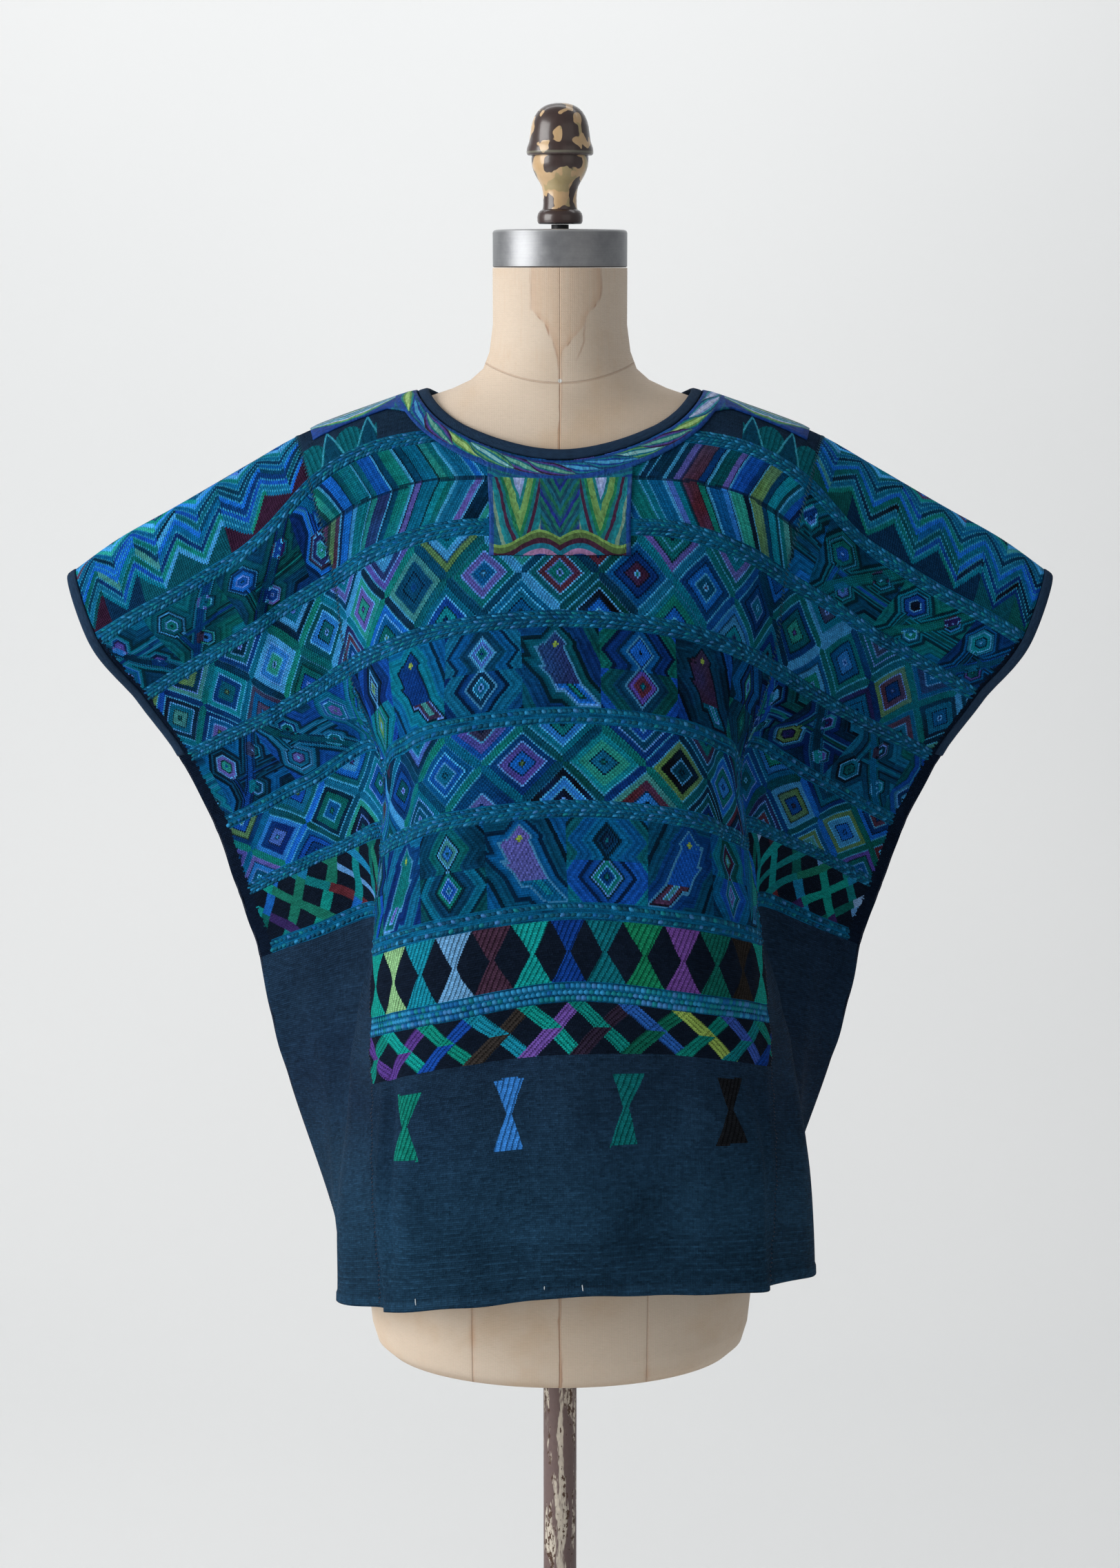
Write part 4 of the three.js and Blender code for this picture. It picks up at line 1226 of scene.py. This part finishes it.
def make_object(name, points_mm, faces, slots=None, materials=(), uvs=None):
    """A mesh object from points in millimetres. uvs maps a map's name to one pair for each face corner."""
    mesh = bpy.data.meshes.new(name)
    mesh.from_pydata((np.asarray(points_mm) * 0.001).tolist(), [], [list(map(int, f)) for f in faces])
    for material in materials:
        mesh.materials.append(material)
    if slots is not None:
        mesh.polygons.foreach_set("material_index", np.asarray(slots, dtype=np.int32))
    for key, pairs in (uvs or {}).items():
        layer = mesh.uv_layers.new(name=key)
        layer.data.foreach_set("uv", np.asarray(pairs, dtype=np.float32).ravel())
    mesh.polygons.foreach_set("use_smooth", np.full(len(mesh.polygons), True))
    mesh.update()
    obj = bpy.data.objects.new(name, mesh)
    bpy.context.scene.collection.objects.link(obj)
    return obj


def sharpen(obj, degrees=40):
    """Keeps edges crisp that turn more than this."""
    bpy.ops.object.select_all(action="DESELECT")
    obj.select_set(True)
    bpy.context.view_layer.objects.active = obj
    bpy.ops.object.shade_smooth_by_angle(angle=math.radians(degrees))


def steps(borders, size):
    """Levels through all the borders, no further apart than size."""
    out = [borders[0]]
    for a, b in zip(borders[:-1], borders[1:]):
        n = max(1, math.ceil((b - a) / size - 0.01))
        out += [a + (b - a) * k / n for k in range(1, n + 1)]
    return np.array(out, float)


# What is woven above each band, on the middle length and on a side length
BETWEEN = [("hills", "zigzags"), ("slanted bars", "stems"), ("diamonds", "diamonds"), ("birds", "stems"),
           ("diamonds", "diamonds"), ("birds", "lattice")]


def weaving_rows():
    """Rows down from the shoulder fold: from, to, finish on the middle length, on a side length."""
    rows, top = [], 0
    for band, (centre, beside) in zip(BANDS, BETWEEN):
        rows += [(top, band - BAND_HALF, centre, beside),
                 (band - BAND_HALF, band + BAND_HALF, "band ground", "band ground")]
        top = band + BAND_HALF
    borders = [top, *WIDE_BAND, BROCADE_END, HEM_FOLD, LENGTH]
    lower = ["hourglasses", "band ground", "crossed bars", "spotted cloth", "plain cloth"]
    return rows + [(a, b, centre, "plain cloth") for a, b, centre in zip(borders, borders[1:], lower)]


ROWS = weaving_rows()


def flat_grid(across, along):
    """A grid of places on the flat cloth, and its quads."""
    u, v = (a.ravel() for a in np.meshgrid(across, along))
    wide = len(across)
    corner = (np.arange(len(along) - 1)[:, None] * wide + np.arange(wide - 1)[None, :]).ravel()
    return u, v, np.stack([corner, corner + 1, corner + wide + 1, corner + wide], 1)


def cut_neck(u, v, faces):
    """Leaves out the quads inside the neck's cut, and moves the points left within it out to the cut."""
    down = np.where(v >= 0, NECK_CUT["front"], NECK_CUT["back"])
    reach = np.hypot(u / NECK_CUT["half"], v / down)
    faces = faces[reach[faces].max(axis=1) > 1.0]
    pull = np.where(reach < 1, 1 / np.maximum(reach, 0.2), 1)
    used, where = np.unique(faces, return_inverse=True)
    return (u * pull)[used], (v * pull)[used], where.reshape(faces.shape)


def uneven_hem(u, v):
    """The places along, for a hem that is not quite straight and has rounded corners."""
    wave = 0.8 + 0.45 * np.sin(u / 21 + 1) + 0.3 * np.sin(u / 8.3) + 6 * smooth((np.abs(u) - 374) / 16)
    return v - np.sign(v) * wave * smooth((np.abs(v) - LENGTH + 16) / 16)


def row_finishes(down, column, finishes):
    """For quads this far down, the place in finishes of the finish of the row that each quad is in."""
    row = np.zeros(len(down), int)
    for k, (top, bottom, *_) in enumerate(ROWS):
        row[(down >= top) & (down < bottom + 0.001)] = k
    return np.array([finishes.index(r[column]) for r in ROWS])[row]


def rim_walls(faces, count):
    """Quads that join the outer and the inner face of a cloth of this many points, one along every edge
    that only one of its quads has, and which quad that is."""
    ways = np.concatenate([faces[:, [k, (k + 1) % 4]] for k in range(4)])
    owner = np.tile(np.arange(len(faces)), 4)
    ends = np.sort(ways, axis=1)
    _, first, times = np.unique(ends[:, 0] * count + ends[:, 1], return_index=True, return_counts=True)
    rim = first[times == 1]
    a, b = ways[rim, 0], ways[rim, 1]
    return np.stack([b, a, a + count, b + count], 1), owner[rim]


def woven_length(name, across, column, finishes, side=0):
    """One woven length as a wall with two faces, with its rows' finishes on them. column is the finish's
    place in a row. side is -1 or 1 for a side length, which leaves room for the binding at the arm opening,
    and 0 for the middle length, which has the neck cut out."""
    half = steps([0.0] + [float(row[1]) for row in ROWS], 4.0)
    u, v, faces = flat_grid(across, np.concatenate([-half[:0:-1], half]))
    if side:
        bound = SIDE_EDGE - BINDING_WIDTH - BINDING_GAP
        share = (u - across[0]) / (across[-1] - across[0])
        reach = np.where(np.abs(v) <= ARMHOLE + 2, bound, SIDE_EDGE)
        u = side * (across[0] + (reach - across[0]) * share)
        faces = faces[:, ::side]
    else:
        u, v, faces = cut_neck(u, v, faces)
    v = uneven_hem(u, v)
    outer = surface(u, v)
    inner = surface(u, v, -WALL - band_rise(u, v))
    count = len(u)
    slot = row_finishes(np.abs(v[faces].mean(axis=1)), column, finishes)
    walls, beside = rim_walls(faces, count)
    all_faces = np.concatenate([faces, faces[:, ::-1] + count, walls])
    slots = np.concatenate([slot, slot, slot[beside]])
    flat = np.stack([np.tile(u, 2), np.tile(v, 2)], 1)[all_faces.ravel()]
    return make_object(name, np.concatenate([outer, inner]), all_faces, slots, [FINISH[f] for f in finishes],
                       {"cloth": flat})


def sweep(name, rings, closed, finish, uvs=True):
    """Joins rings of points, (rings, points, 3), into a tube, closed on itself or capped at its ends."""
    n, size = rings.shape[:2]
    faces, pairs = [], []
    for i in range(n if closed else n - 1):
        here, after = i * size, ((i + 1) % n) * size
        for j in range(size):
            k = (j + 1) % size
            faces.append([here + j, after + j, after + k, here + k])
            pairs += [(i, j), (i + 1, j), (i + 1, j + 1), (i, j + 1)]
    if not closed:
        end = (n - 1) * size
        faces += [list(range(size)), [end + j for j in reversed(range(size))]]
        pairs += [(0, j) for j in range(size)] + [(n, j) for j in range(size)]
    obj = make_object(name, rings.reshape(-1, 3), faces, None, [finish], {"strip": pairs} if uvs else None)
    outwards(obj)
    return obj


def outwards(obj):
    """Turns every face outwards."""
    work = bmesh.new()
    work.from_mesh(obj.data)
    bmesh.ops.recalc_face_normals(work, faces=work.faces)
    work.to_mesh(obj.data)
    work.free()


def bound_edge(name, across, along, away, closed):
    """A folded strip along an edge of the cloth, a little puckered by its stitches."""
    across, along = np.asarray(across, float), np.asarray(along, float)
    at = cloth(across, along) + axes_at(across, along)[2] * creases(across, along)[:, None] * 0.5
    if closed:
        run = unit(np.roll(at, -1, axis=0) - np.roll(at, 1, axis=0))
    else:
        run = unit(np.gradient(at, axis=0))
    out = axes_at(across, along)[2]
    off = unit(np.cross(out, run))
    off *= np.sign((off * away(across, along)).sum(axis=1))[:, None]
    up = unit(np.cross(run, off))
    up *= np.sign((up * out).sum(axis=1))[:, None]
    length = np.concatenate([[0], np.cumsum(np.linalg.norm(np.diff(at, axis=0), axis=1))])
    pucker = 1 + 0.07 * np.sin(length / 2.1) + 0.05 * np.sin(length / 3.7 + 2)
    w, h = BINDING_WIDTH, BINDING_THICK / 2
    upper = [(0.6, h - 0.15), (w * 0.25, h - 0.02), (w * 0.5, h), (w * 0.75, h - 0.1), (w - 1.1, h - 0.5),
             (w - 0.25, h * 0.4)]
    lower = [(b, -z) for b, z in upper[::-1]]
    section = [(0, -h + 0.5), (0, -0.3), (0, 0.3), (0, h - 0.5), *upper, (w, 0), *lower]
    rings = [at + off * (BINDING_GAP + b) + up * (z * pucker)[:, None] for b, z in section]
    return sweep(name, np.stack(rings, 1), closed, FINISH["binding"])


def neck_path(count):
    """Places round the neck's cut edge."""
    angle = np.linspace(0, 2 * np.pi, count, endpoint=False)
    u, v = NECK_CUT["half"] * np.sin(angle), np.cos(angle)
    return u, v * np.where(v >= 0, NECK_CUT["front"], NECK_CUT["back"])


# The needlework's outer end for a quarter: angle at the neck, across, along
TONGUE = [(0, 184, 0), (3, 184, 13), (6, 184, 26), (9, 152, 26), (13, 124, 25)]


def needlework_lines(down):
    """Lines of the needlework from the neck out, for one quarter: their ends, close together."""
    cut, low = NECK_CUT["half"] + 0.8, down + 0.8
    bottom = down + DROP - BINDING_WIDTH - BINDING_GAP
    rows = list(TONGUE)
    ring_angles = (21, 33, 45, 56)
    for angle in ring_angles:
        a = math.radians(angle)
        rows.append((angle, (cut + RING) * math.cos(a), (low + RING) * math.sin(a)))
    corner = (low + RING) * math.sqrt(1 - (SQUARE / (cut + RING)) ** 2)
    rows += [(63, SQUARE, corner), (68, SQUARE, (corner + bottom) / 2), (73, SQUARE, bottom),
             (81, SQUARE / 2, bottom), (90, 0, bottom)]
    out = []
    for (a1, u1, v1), (a2, u2, v2) in zip(rows[:-1], rows[1:]):
        for t in np.arange(6) / 6:
            a = math.radians(a1 + (a2 - a1) * t)
            to = (u1 + (u2 - u1) * t, v1 + (v2 - v1) * t)
            if ring_angles[0] <= a1 and a2 <= ring_angles[-1]:
                reach = math.hypot(to[0] / (cut + RING), to[1] / (low + RING))
                to = (to[0] / reach, to[1] / reach)
            out.append(((cut * math.cos(a), low * math.sin(a)), to))
    out.append(((0, low), rows[-1][1:]))
    return np.array(out)


def needlework():
    """The needlework as a thin raised sheet with thinner rims, close on the cloth."""
    front, back = needlework_lines(NECK_CUT["front"]), needlework_lines(NECK_CUT["back"])
    parts = [front[:-1], front[::-1][:-1] * [-1, 1], back[:-1] * [-1, -1], back[::-1][:-1] * [1, -1]]
    lines = np.concatenate(parts)
    shares = np.linspace(0, 1, 15)
    n, wide = len(lines), len(shares)
    u, v = ((lines[:, :1, c] + shares * (lines[:, 1:, c] - lines[:, :1, c])).ravel() for c in (0, 1))
    rim = 1 - smooth(np.tile(np.minimum(shares, 1 - shares), n) / 0.05)
    top = 3.2
    lift = (top - WALL / 2 - band_rise(u, v)) * 0.62 + 0.32 - 0.55 * rim
    points = np.concatenate([surface(u, v, lift), surface(u, v, 0.25)])
    i, j = (a.ravel() for a in np.meshgrid(np.arange(n), np.arange(wide - 1), indexing="ij"))
    after = (i + 1) % n
    faces = np.stack([i * wide + j, i * wide + j + 1, after * wide + j + 1, after * wide + j], 1)
    count = n * wide
    here = np.arange(n) * wide
    ahead = np.roll(here, -1)
    rim_in = np.stack([here, ahead, ahead + count, here + count], 1)
    rim_out = np.stack([ahead, here, here + count, ahead + count], 1) + wide - 1
    all_faces = np.concatenate([faces, faces[:, ::-1] + count, rim_in, rim_out])
    flat = np.stack([np.tile(u, 2), np.tile(v, 2)], 1)[all_faces.ravel()]
    obj = make_object("neck_embroidery", points, all_faces, None, [FINISH["needlework"]], {"cloth": flat})
    outwards(obj)
    return obj


def stitches(name, places, finish):
    """Many short stitches on the cloth. A place is across, along, turn, length, width, height, lift and
    colour number."""
    across, along, turn, length, width, height, lift, colour = np.array(places, float).T
    u, v, out = axes_at(across, along)
    at = surface(across, along) + out * lift[:, None]
    run = u * np.cos(turn)[:, None] + v * np.sin(turn)[:, None]
    return stitch_bodies(name, at, run, out, length, width, height, colour, finish, 4)


def stitch_bodies(name, at, run, out, length, width, height, colour, finish, sides):
    """Spindle shapes at these points, each along its run, with its highest side out and its ends sunk."""
    beside = np.cross(out, run)
    points, faces = [], []
    per = 2 + 3 * sides
    for t, size in [(-0.5, 0.0), (-0.4, 0.86), (0.0, 1.0), (0.4, 0.86), (0.5, 0.0)]:
        for k in [0] if size == 0 else range(sides):
            a = 2 * math.pi * k / sides
            p = at + run * (t * length)[:, None] - out * (height * 0.42 * abs(2 * t) ** 2)[:, None]
            p = p + beside * (0.5 * width * size * math.cos(a))[:, None]
            points.append(p + out * (0.5 * height * size * math.sin(a))[:, None])
    points = np.stack(points, 1)
    for k in range(sides):
        m = (k + 1) % sides
        faces.append([0, 1 + m, 1 + k])
        faces.append([per - 1, 1 + 2 * sides + k, 1 + 2 * sides + m])
        for ring in range(2):
            a = 1 + ring * sides
            faces.append([a + k, a + m, a + sides + m, a + sides + k])
    all_faces, pairs = [], []
    for n in range(len(at)):
        for f in faces:
            all_faces.append([n * per + q for q in f])
            pairs += [(colour[n] + 0.5, n % 97 + 0.5)] * len(f)
    obj = make_object(name, points.reshape(-1, 3), all_faces, None, [finish], {"stitch": pairs})
    outwards(obj)
    return obj


# The three woven lengths
SIDES = {"left": -1, "right": 1}
CENTRE_FINISHES = ["hills", "band ground", "slanted bars", "diamonds", "birds", "hourglasses", "crossed bars",
                   "spotted cloth", "plain cloth"]
SIDE_FINISHES = ["zigzags", "band ground", "stems", "diamonds", "lattice", "plain cloth"]


def centre_length():
    edge = SEAM - SEAM_GAP / 2
    return woven_length("centre_cloth", np.linspace(-edge, edge, 99), 2, CENTRE_FINISHES)


def side_length(name, side):
    near = SEAM + SEAM_GAP / 2
    share = np.linspace(0, 1, 52)
    return woven_length(name, near + (SIDE_EDGE - near) * share, 3, SIDE_FINISHES, side=side)


centre_cloth = centre_length()
side_cloths = {word: side_length(f"side_cloth_{word}", side) for word, side in SIDES.items()}


# Bindings


def neck_edging():
    """The strip round the neck, which lies towards the middle of the opening."""
    middle = np.array([0, -4, 1385])
    return bound_edge("neck_strip", *neck_path(260), lambda u, v: middle - cloth(u, v), True)


def armhole_edging(name, side):
    """The strip round one arm opening, which reaches a little past its ends."""
    run = np.linspace(-ARMHOLE - 8, ARMHOLE + 8, 160)
    place = np.full(len(run), side * (SIDE_EDGE - BINDING_WIDTH - BINDING_GAP))
    return bound_edge(name, place, run, lambda u, v: axes_at(u, v)[0] * side, False)


neck_strip = neck_edging()
armhole_strips = {word: armhole_edging(f"armhole_strip_{word}", side) for word, side in SIDES.items()}
embroidery = needlework()


# Twined bands, sewing and tacking


def under_needlework(u, v):
    """Whether a place is in the neck opening or under the needlework."""
    down = NECK_CUT["front"] if v >= 0 else NECK_CUT["back"]
    ring = math.hypot(u / (NECK_CUT["half"] + RING + 2), v / (down + RING + 2)) < 1
    return ring or (abs(u) < SQUARE + 3 and abs(v) < down + DROP - 5)


TWINE_PITCH = 3.6
THICK_BANDS = (3, 5)


def twined_rows(across, rng):
    """Places of slanting twined stitches on every band, in four fine rows or two thick ones."""
    places = []
    shift = TWINE_PITCH / 2
    for band, at in enumerate(BANDS):
        thick = band in THICK_BANDS
        width, height = (2.9, 1.3) if thick else (1.9, 0.95)
        for face in (-1, 1):
            for n, row in enumerate((-3, 3) if thick else (-4.3, -1.45, 1.45, 4.3)):
                lean = (1 if row < 0 else -1) * 14
                for k, u in enumerate(across):
                    wave = 0.5 * math.sin(u / 23 + band)
                    places.append([u + shift * (n % 2) + rng.normal(0, 0.2), face * (at + row + wave),
                                   face * math.radians(lean + rng.normal(0, 3)), 4.4 + rng.normal(0, 0.3),
                                   width, height, 0.1, 2 * rng.integers(0, 12) + ((k + n) % 3 > 1)])
    return places


def wide_band_rows(across, rng):
    """Places of the level stitches on the wide band, in three rows, all bright."""
    return [[u + TWINE_PITCH / 2 * (row % 2), face * (WIDE_BAND[0] + 3.2 + 4.8 * row), 0, 4.2, 4.0, 1.1, 0.1,
             25 + 2 * rng.integers(0, 6)] for face in (-1, 1) for row in range(3) for u in across]


def band_stitches(name, across, side):
    """The stitches of the bands on one length, short of its edges and of the needlework."""
    rng = np.random.default_rng(3 + side)
    places = twined_rows(across, rng)
    if side:
        near, far = SEAM + 4.2, SIDE_EDGE - 11
    else:
        near, far = -1, SEAM - 4.2
        places += wide_band_rows(across, rng)
    places = [p for p in places if near < abs(p[0]) < far and not under_needlework(p[0], p[1])]
    return stitches(name, places, FINISH["band stitches"])


bands_centre = band_stitches("twined_bands_centre", np.arange(-192, 193, TWINE_PITCH), 0)
bands_beside = [band_stitches(f"twined_bands_{word}", side * np.arange(198, 390, TWINE_PITCH), side)
                for word, side in SIDES.items()]


def joining(name, side):
    """Short stitches over the slit where two lengths meet, teal in the brocade and navy below."""
    places = [[side * SEAM, v, 0.35 * side, 4.2, 1.3, 0.9, 0.0, NAVY if abs(v) > BANDS[-1] + 4 else TEAL]
              for v in np.arange(4 - LENGTH, LENGTH - 2, 3.1)]
    return stitches(name, places, FINISH["sewing thread"])


def side_seam(name, side):
    """Overcast stitches that close the side edges from the arm opening to the hem."""
    v = np.arange(ARMHOLE + 9, LENGTH - 6, 2.3)
    u = np.full(len(v), side * (SIDE_EDGE - 0.4))
    front, back = cloth(u, v), cloth(u, -v)
    run = unit(front - back)
    away = unit((axes_at(u, v)[0] + axes_at(u, -v)[0]) * side)
    out = unit(away - run * np.sum(away * run, 1)[:, None])
    length = np.linalg.norm(front - back, axis=1) + 4.6
    size = np.ones(len(v))
    return stitch_bodies(name, (front + back) / 2 + out * 0.2, run, out, length, size * 2.7, size * 1.8,
                         size * NAVY, FINISH["sewing thread"], 6)


side_seams = [side_seam(f"side_seam_{word}", side) for word, side in SIDES.items()]
joins = [joining(f"joining_stitches_{word}", side) for word, side in SIDES.items()]

# The white tacks that are left in the hem: across, along, turn, length
TACKS = [(-114, 672, 1.5, 5.5), (-22, 671, 1.6, 6), (5, 672, 1.45, 5), (88, -672, 1.6, 5),
         (-60, -671, 1.5, 5.5)]
tacks = stitches("hem_tacking", [[*tack, 0.8, 0.6, 0.1, WHITE] for tack in TACKS], FINISH["sewing thread"])


# The dress form

# Height, half width, depth in front, depth behind, and how square the outline is (2 is an ellipse)
FORM_ROWS = np.array([
    [676, 118, 78, 92, 2], [678.5, 131, 89, 103, 2], [686, 139, 96, 109, 2], [700, 143, 100, 112, 2],
    [730, 146, 102, 114, 2], [780, 148, 104, 116, 2], [830, 142, 104, 115, 2], [880, 134, 102, 112, 2],
    [940, 122, 98, 101, 2], [1000, 113, 96, 89, 2], [1040, 111, 97, 84, 2], [1090, 117, 105, 90, 2],
    [1140, 127, 117, 99, 2], [1185, 137, 125, 105, 2.05], [1215, 143, 120, 106, 2.1],
    [1249, 150, 104, 105, 2.1], [1280, 157, 86, 101, 2.1], [1308, 164, 70, 93, 2.05],
    [1335, 171, 62, 81, 1.95], [1352, 176, 57, 71, 1.8], [1366, 179, 54, 61, 1.6],
    [1378, 149, 52, 56, 1.5], [1388, 121, 51, 53, 1.45], [1396, 95, 50.5, 51.5, 1.5],
    [1402, 77, 50, 50.5, 1.75], [1408, 64, 49.5, 50, 2], [1416, 55, 49, 49.5, 2],
    [1428, 50.5, 48.5, 49, 2], [1447, 48, 48, 48, 2], [1487, 48, 48, 48, 2],
])


def form_body():
    """The padded torso with its neck, drawn over its rows."""
    rows = FORM_ROWS[:, 0]
    near_foot = [676.6, 677.5, 680, 683]
    levels = np.unique(np.concatenate([rows, np.arange(rows[0], rows[-1], 5.0), near_foot]))
    half, front, back, power = (np.interp(levels, rows, FORM_ROWS[:, k]) for k in (1, 2, 3, 4))
    angle = np.linspace(0, 2 * np.pi, 160, endpoint=False)
    c, s = np.cos(angle), np.sin(angle)
    x = half[:, None] * np.sign(c) * np.abs(c) ** (2 / power[:, None])
    depth = np.where(s < 0, front[:, None], back[:, None])
    y = depth * np.sign(s) * np.abs(s) ** (2 / power[:, None])
    rings = np.stack([x, y, np.broadcast_to(levels[:, None], x.shape)], 2)
    return sweep("form_body", rings, False, FINISH["form linen"], uvs=False)


body = form_body()
sharpen(body, 50)


def turned(name, profile, finish, around):
    """A lathe-turned piece: a disc drawn up through its radii and heights, in millimetres."""
    radius, height = profile[0][0] / 1000, profile[0][1] / 1000
    bpy.ops.object.select_all(action="DESELECT")
    bpy.ops.mesh.primitive_circle_add(vertices=around, radius=radius, fill_type="NGON",
                                      location=(0, 0, height))
    obj = bpy.context.active_object
    obj.name = obj.data.name = name
    bpy.ops.object.mode_set(mode="EDIT")
    bpy.ops.mesh.select_mode(type="FACE")
    bpy.ops.mesh.select_all(action="SELECT")
    for r, z in profile[1:]:
        r, z = r / 1000, z / 1000
        bpy.ops.mesh.extrude_region_move(TRANSFORM_OT_translate={"value": (0, 0, z - height)})
        bpy.ops.transform.resize(value=(r / radius, r / radius, 1), center_override=(0, 0, z))
        radius, height = r, z
    bpy.ops.mesh.select_all(action="SELECT")
    bpy.ops.mesh.normals_make_consistent(inside=False)
    bpy.ops.object.mode_set(mode="OBJECT")
    bpy.ops.object.transform_apply(location=True, rotation=True, scale=True)
    obj.data.materials.append(finish)
    bpy.ops.object.shade_smooth_by_angle(angle=math.radians(38))
    return obj


# Half width and height of each turned piece, from its foot up
cap = turned("metal_cap", [(46.9, 1487.4), (47.9, 1488.0), (47.9, 1511.6), (47.2, 1512.9),
                           (45.6, 1513.5)], FINISH["cap metal"], 96)
cap_screw = turned("cap_screw", [(6.4, 1513.2), (6.4, 1514.3), (5.6, 1514.8)], FINISH["stem metal"], 6)
stem = turned("dark_stem", [(6.2, 1513.9), (6.2, 1517.2)], FINISH["stem metal"], 32)
collar = turned("knob_collar", [(14.6, 1517.6), (15.6, 1518.2), (16.1, 1519.6), (16.2, 1522.6),
                                (15.6, 1525.0), (14.2, 1526.8), (12.5, 1527.8)], FINISH["knob paint"], 64)
bulb = turned("knob_bulb", [(12.4, 1527.6), (12.1, 1529.4), (11.9, 1532), (11.9, 1536), (12.1, 1539.5),
                            (12.9, 1543.5), (14.3, 1546.2), (15.9, 1548.8), (17.5, 1551.6),
                            (18.8, 1554.6), (19.7, 1557.6), (20.1, 1560.6), (20.2, 1563.4),
                            (19.9, 1565.5)], FINISH["knob paint"], 64)
dome = turned("knob_dome", [(20.6, 1565.0), (22.6, 1565.2), (23.5, 1566.2), (23.7, 1567.6),
                            (23.4, 1570.2), (22.4, 1573.0), (21.7, 1575.0), (21.3, 1578.0),
                            (20.9, 1581.0), (20.3, 1585.0), (19.4, 1588.6), (17.9, 1592.2),
                            (16.0, 1595.2), (13.5, 1597.6), (10.6, 1599.4), (7.6, 1600.5),
                            (4.6, 1601.1), (1.6, 1601.3)], FINISH["knob paint"], 64)
pole = turned("stand_pole", [(12.2, 14.4), (12.7, 15), (12.7, 675)], FINISH["pole paint"], 64)
base = turned("stand_base", [(198.4, 0.2), (199.6, 1.4), (199.8, 7.6), (198.8, 9.8), (196.4, 12.0),
                             (188, 13.2), (150, 17.0), (110, 19.6), (70, 22.2), (46, 24.6), (38, 26.4),
                             (33.4, 29), (31, 33), (29.4, 46), (28, 59), (27.2, 61.6), (25.2, 63.4),
                             (22, 64)], FINISH["base iron"], 128)


# What rides, what it replaces, and the kind of material of each
PIECES = [
    (centre_cloth, ["center_panel_front", "center_panel_back"], "woven_cloth"),
    (side_cloths["left"], ["side_panel_left_front", "side_panel_left_back"], "woven_cloth"),
    (side_cloths["right"], ["side_panel_right_front", "side_panel_right_back"], "woven_cloth"),
    (neck_strip, ["neck_binding"], "binding_cloth"),
    (armhole_strips["left"], ["armhole_binding_left"], "binding_cloth"),
    (armhole_strips["right"], ["armhole_binding_right"], "binding_cloth"),
    (embroidery, ["neck_needlework"], "needlework"), (body, ["form_torso"], "form_linen"),
    (cap, ["neck_cap"], "cap_metal"), (stem, ["finial_stem"], "stem_metal"), (cap_screw, [], "stem_metal"),
    (collar, ["finial_knob"], "knob_paint"), (bulb, [], "knob_paint"), (dome, [], "knob_paint"),
    (pole, ["pole"], "pole_paint"), (base, ["base"], "base_iron"),
    *((piece, [], "needlework") for piece in (bands_centre, *bands_beside)),
    *((piece, [], "woven_cloth") for piece in (*side_seams, *joins, tacks)),
]
for piece, nodes, slot in PIECES:
    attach(piece, "root")
    if nodes:
        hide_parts(*nodes)

# Floor, backdrop, light and camera


def backdrop():
    """A pale floor that bends up into a wall behind the form. Its places are in metres."""
    front, turn, radius, top, half = -4.5, 1.5, 1.2, 6.0, 5.0
    bend = [(turn + radius * math.sin(a), radius - radius * math.cos(a))
            for a in np.linspace(0.08, math.pi / 2, 20)]
    line = [(front, 0.0), (turn, 0.0), *bend, (turn + radius, top)]
    points = [(x * 1000, y * 1000, z * 1000) for x in (-half, half) for y, z in line]
    n = len(line)
    faces = [[k, n + k, n + k + 1, k + 1] for k in range(n - 1)]
    return make_object("backdrop", points, faces, None, [FINISH["backdrop"]])


backdrop()


def lamp(name, place, toward, size, power, colour):
    """A soft area light that the camera does not see."""
    data = bpy.data.lights.new(name, "AREA")
    data.shape, (data.size, data.size_y) = "RECTANGLE", size
    data.energy, data.color = power, colour
    obj = bpy.data.objects.new(name, data)
    bpy.context.scene.collection.objects.link(obj)
    x, y, z = np.array(toward, float) - np.array(place, float)
    obj.location = place
    obj.visible_camera = False
    obj.rotation_euler = (math.atan2(math.hypot(x, y), -z), 0, math.atan2(y, x) - math.pi / 2)


lamp("window", (-2.7, -1.2, 2.0), (0, 0, 1.15), (2.2, 2.4), 98, (1.0, 0.985, 0.965))
lamp("fill", (1.6, -2.5, 2.0), (0, 0, 1.3), (2.4, 2.4), 6, (1.0, 0.93, 0.84))
lamp("back_wash", (0.1, 0.9, 3.0), (0.5, 2.6, 1.2), (2.6, 1.6), 27, (1.0, 1.0, 1.0))

world = bpy.data.worlds.new("studio")
bpy.context.scene.world = world
world.use_nodes = True
sky = world.node_tree.nodes["Background"]
sky.inputs["Color"].default_value = (0.97, 0.98, 1.0, 1)
sky.inputs["Strength"].default_value = 0.29

# The camera stands 2 m in front of the form and looks a little down on it
camera = bpy.data.cameras.new("camera")
camera.sensor_fit, camera.sensor_width, camera.lens = "AUTO", 36, 63.32
camera.clip_start, camera.clip_end = 0.05, 30
camera_object = bpy.data.objects.new("camera", camera)
bpy.context.scene.collection.objects.link(camera_object)
camera_object.location = (0, -2.0, 1.48)
camera_object.rotation_euler = (math.radians(79.6), 0, 0)
bpy.context.scene.camera = camera_object
bpy.context.scene.view_settings.view_transform = "Standard"
